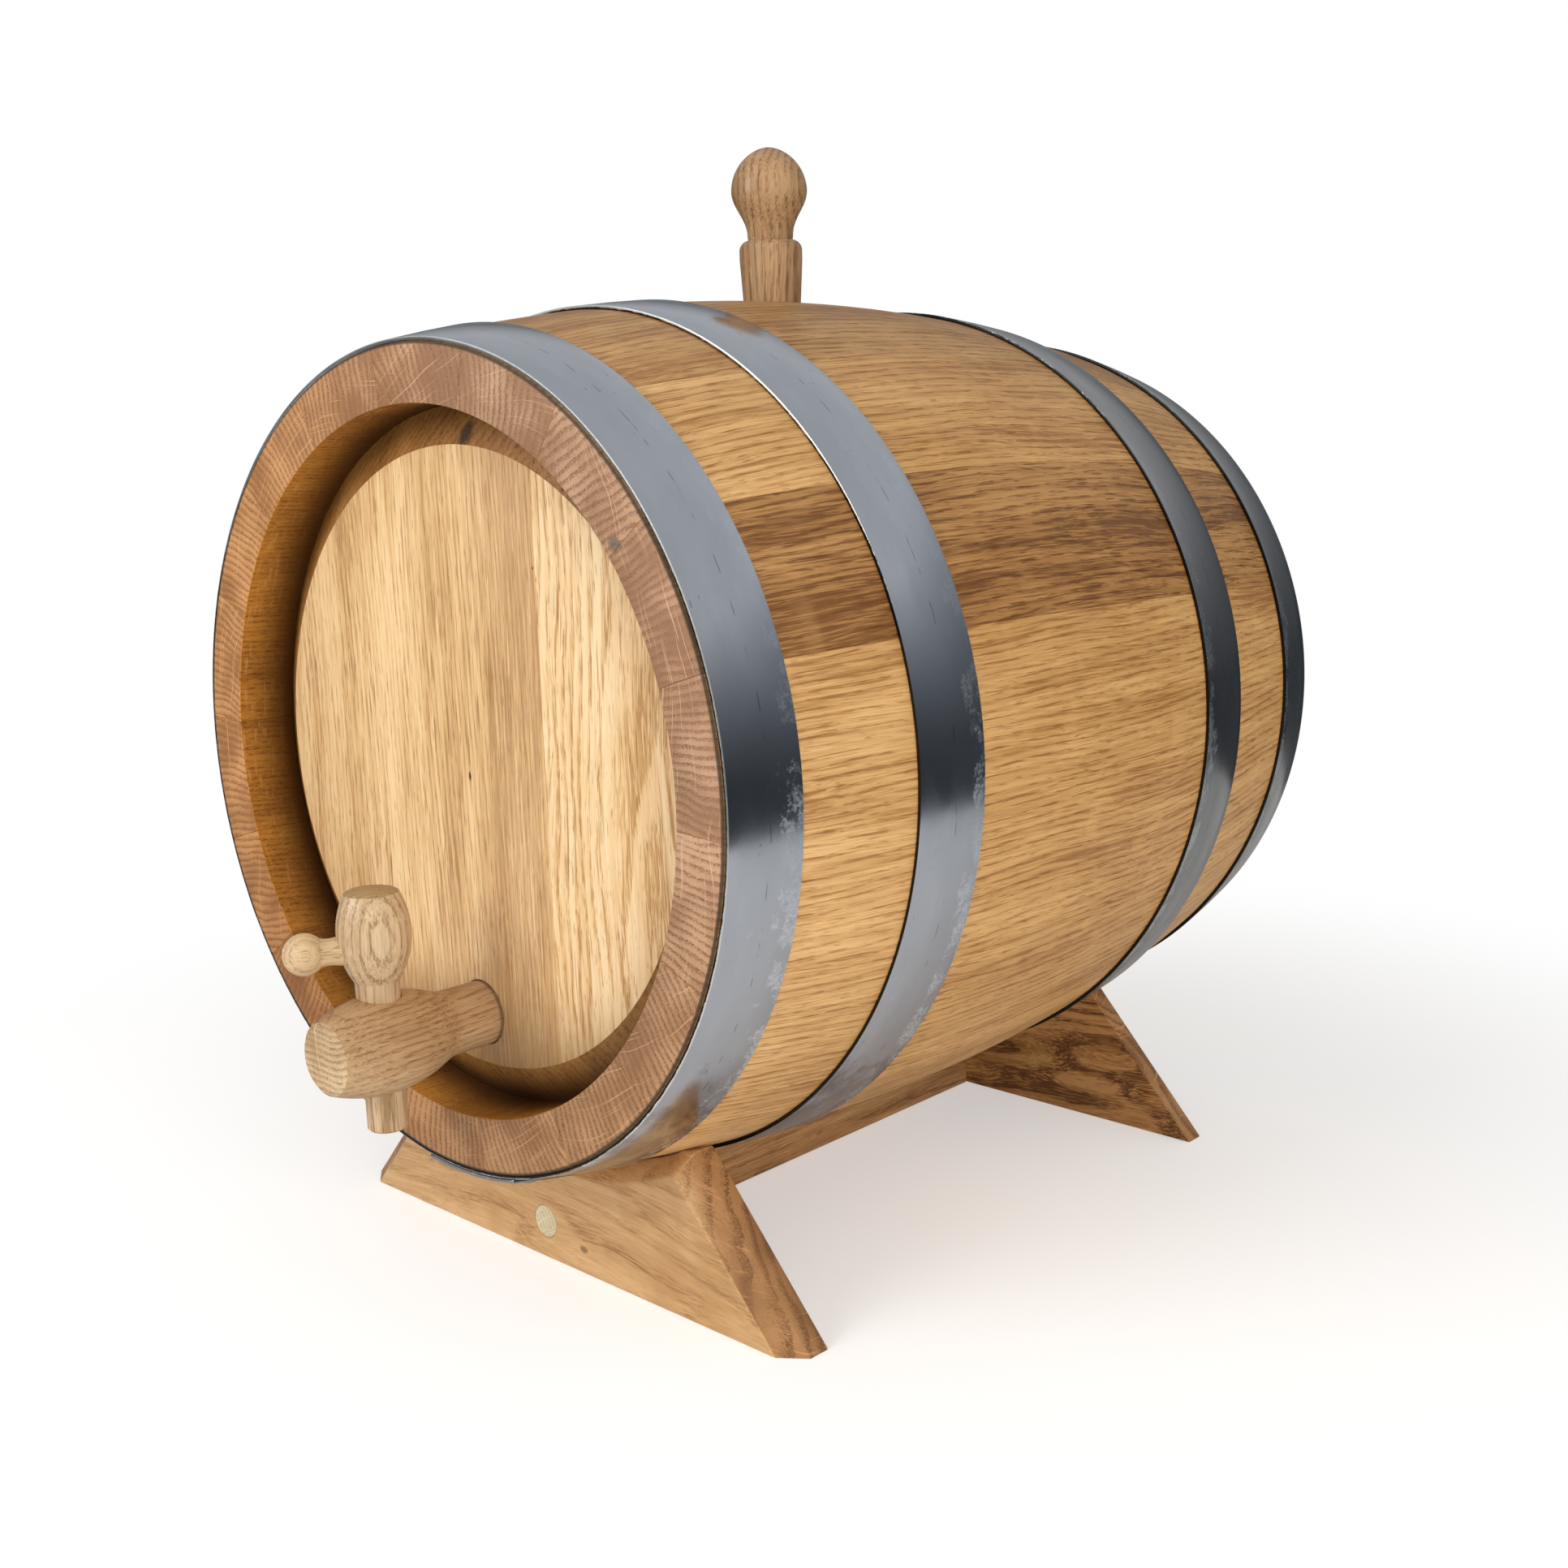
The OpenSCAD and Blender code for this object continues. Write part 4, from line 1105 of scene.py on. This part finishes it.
spigot_outline += [
    (SPIGOT_NECK_R, -HEAD_FACE_Y), (ROOT_R, ROOT_END_Y - 0.4), (ROOT_R - 0.4, ROOT_END_Y),
    (WATERWAY_R, ROOT_END_Y), (WATERWAY_R, KEY_Y), (0, KEY_Y)]
bm = turned(spigot_outline)
move(bm, ON_SPIGOT)
bit = turned(KEY_HOLE, 64)
move(bit, AT_KEY)
bm = drill(bm, bit)
hand_over(bm, "visual_spigot_body", [SPIGOT_OAK], "cask")
print("spigot length in mm:", round(ROOT_END_Y - FRONT_Y, 1))

# %% Make the key
KEY_TOP_H, KEY_BELLY_H, SHANK_H, BORE_TOP_H, TAIL_H = 36.2, 26.4, 15.0, 3.5, -20.6
KEY_TOP_R, KEY_BELLY_R, SHANK_R, TAIL_R = 6.05, 8.5, 5.15, 4.62
KEY_ARC = arc_radius(KEY_TOP_H - KEY_BELLY_H, KEY_BELLY_R - KEY_TOP_R)
rise = math.degrees(math.asin((KEY_TOP_H - KEY_BELLY_H) / KEY_ARC))
drop = math.degrees(math.asin((KEY_BELLY_H - SHANK_H) / KEY_ARC))
key_outline = [
    (0, BORE_TOP_H), (WATERWAY_R, BORE_TOP_H), (WATERWAY_R, TAIL_H), (TAIL_R - 0.5, TAIL_H),
    (TAIL_R, TAIL_H + 0.5), (SHANK_R, SHANK_H)]
key_outline += arc((KEY_BELLY_R - KEY_ARC, KEY_BELLY_H), KEY_ARC, -drop + 1, rise - 1.2, 24)
key_outline += [(KEY_TOP_R - 0.45, KEY_TOP_H), (0, KEY_TOP_H)]
hand_over(turned(key_outline), "visual_spigot_key", [KEY_OAK], "spigot_key", place=AT_KEY)
print("key length in mm:", round(KEY_TOP_H - TAIL_H, 1))

# %% Make the peg
PEG_H, PEG_START, PEG_END, PEG_BALL_R, PEG_ROOT_R, PEG_NECK_R = 22.9, 3.03, 20.6, 4.9, 3.4, 3.1
peg_outline = [(0, PEG_START), (PEG_ROOT_R, PEG_START), (PEG_ROOT_R, 7.5)]
peg_outline += [(PEG_NECK_R, 9.8), (PEG_NECK_R, 10.9)]
peg_outline += arc((0, PEG_END - PEG_BALL_R), PEG_BALL_R, -47, 90, 20)[:-1] + [(0, PEG_END)]
aim = shift(0, KEY_Y, SPIGOT_Z + PEG_H) @ rotation(-PEG_TURN, "Z") @ rotation(90, "X")
hand_over(turned(peg_outline, 64), "visual_key_peg", [PEG_OAK], "spigot_key", place=aim)
print("peg length in mm:", round(PEG_END - PEG_START, 1))

# %% [markdown]
# ## Cradle
# Two boards stand across under the cask. Each is sawn from one plank: sloping ends, and a saddle that
# follows the staves. Drawn as a face, extruded by its thickness and bevelled along its outer arrises,
# it is the same sequence a joiner uses. The saddle is a cone, since the staves splay, so the
# inner edge of the arc is moved out a little.

# %% Board
BOARD_T, BOARD_HALF, TIP_H, END_SLOPE, BOARD_BEVEL = 11.2, 84.8, 40.4, 48.4, 5.0
CRADLE_HALF, SADDLE_PLAY = 90.6, 0.3
RAIL_X, RAIL_H, DOWEL_R, DOWEL_H, DOWEL_LENGTH = -2.5, 20.0, 4.2, 10.0, 30.0


def on_outer_face(edge):
    """Whether an edge bounds the board's outer face, the bottom one apart."""
    outside = all(v.co.y < -CRADLE_HALF * MM + 1e-6 for v in edge.verts)
    return outside and max(v.co.z for v in edge.verts) > MM


def cradle_board():
    """The front board, with its outer face towards -Y."""
    saddle_r = cask_r(CRADLE_HALF) + SADDLE_PLAY
    inner_r = cask_r(CRADLE_HALF - BOARD_T) + SADDLE_PLAY
    tip_x = BOARD_HALF - TIP_H / math.tan(math.radians(END_SLOPE))
    reach = math.degrees(math.acos((AXIS_Z - TIP_H) / saddle_r))
    outline = [(-BOARD_HALF, 0), (BOARD_HALF, 0), (tip_x, TIP_H)]
    outline += arc((0, AXIS_Z), saddle_r, -90 + reach, -90 - reach, 40)
    outline += [(-tip_x, TIP_H)]
    bm = draw(outline, closed=True)
    bmesh.ops.contextual_create(bm, geom=bm.edges[:])
    move(bm, shift(0, -CRADLE_HALF, 0))
    grown = bmesh.ops.extrude_face_region(bm, geom=bm.faces[:], use_keep_orig=True)["geom"]
    inner = [v for v in grown if isinstance(v, bmesh.types.BMVert)]
    bmesh.ops.translate(bm, verts=inner, vec=(0, BOARD_T * MM, 0))
    centre = Vector((0, (BOARD_T - CRADLE_HALF) * MM, AXIS_Z * MM))
    bowed = [v for v in inner if (v.co - centre).length < (saddle_r + 0.1) * MM]
    widen = Matrix.Diagonal((inner_r / saddle_r, 1, inner_r / saddle_r, 1))
    bmesh.ops.transform(bm, matrix=widen, space=Matrix.Translation(-centre), verts=bowed)
    bmesh.ops.recalc_face_normals(bm, faces=bm.faces[:])
    soften(bm, BOARD_BEVEL, 1, on_outer_face)
    soften(bm, 0.45, 2)
    return bm


def dowel(radius, end_y, length):
    """A round bar along Y that joins a board to the rail, starting at end_y."""
    bm = turned([(0, 0), (radius, 0), (radius, length), (0, length)], 48)
    move(bm, shift(RAIL_X, end_y, DOWEL_H) @ LAID_DOWN)
    return bm


def mirrored(bm):
    """The same mesh on the rear side."""
    bmesh.ops.scale(bm, vec=(1, -1, 1), verts=bm.verts[:])
    bmesh.ops.reverse_faces(bm, faces=bm.faces[:])
    return bm


# %% Make the cradle
for name, turn_round in (("front_board", False), ("rear_board", True)):
    bm = drill(cradle_board(), dowel(DOWEL_R + 0.12, -CRADLE_HALF - 1, BOARD_T + 2))
    wood = CRADLE_OAK
    if turn_round:
        bm, wood = mirrored(bm), REAR_CRADLE_OAK
    hand_over(bm, f"visual_{name}", [wood], "cradle")

bm = bmesh.new()
bmesh.ops.create_cube(bm, size=1)
rail_size = Vector((BOARD_T, 2 * (CRADLE_HALF - BOARD_T), RAIL_H)) * MM
move(bm, shift(RAIL_X, 0, RAIL_H / 2) @ Matrix.Diagonal((*rail_size, 1)))
soften(bm, 0.5, 2)
hand_over(bm, "visual_rail", [RAIL_OAK], "cradle")

bm = dowel(DOWEL_R, -CRADLE_HALF, DOWEL_LENGTH)
join(bm, mirrored(dowel(DOWEL_R, -CRADLE_HALF, DOWEL_LENGTH)))
hand_over(bm, "visual_rail_dowels", [DOWEL_BEECH], "cradle")
print("cradle pieces: front board, rear board, rail, dowels")
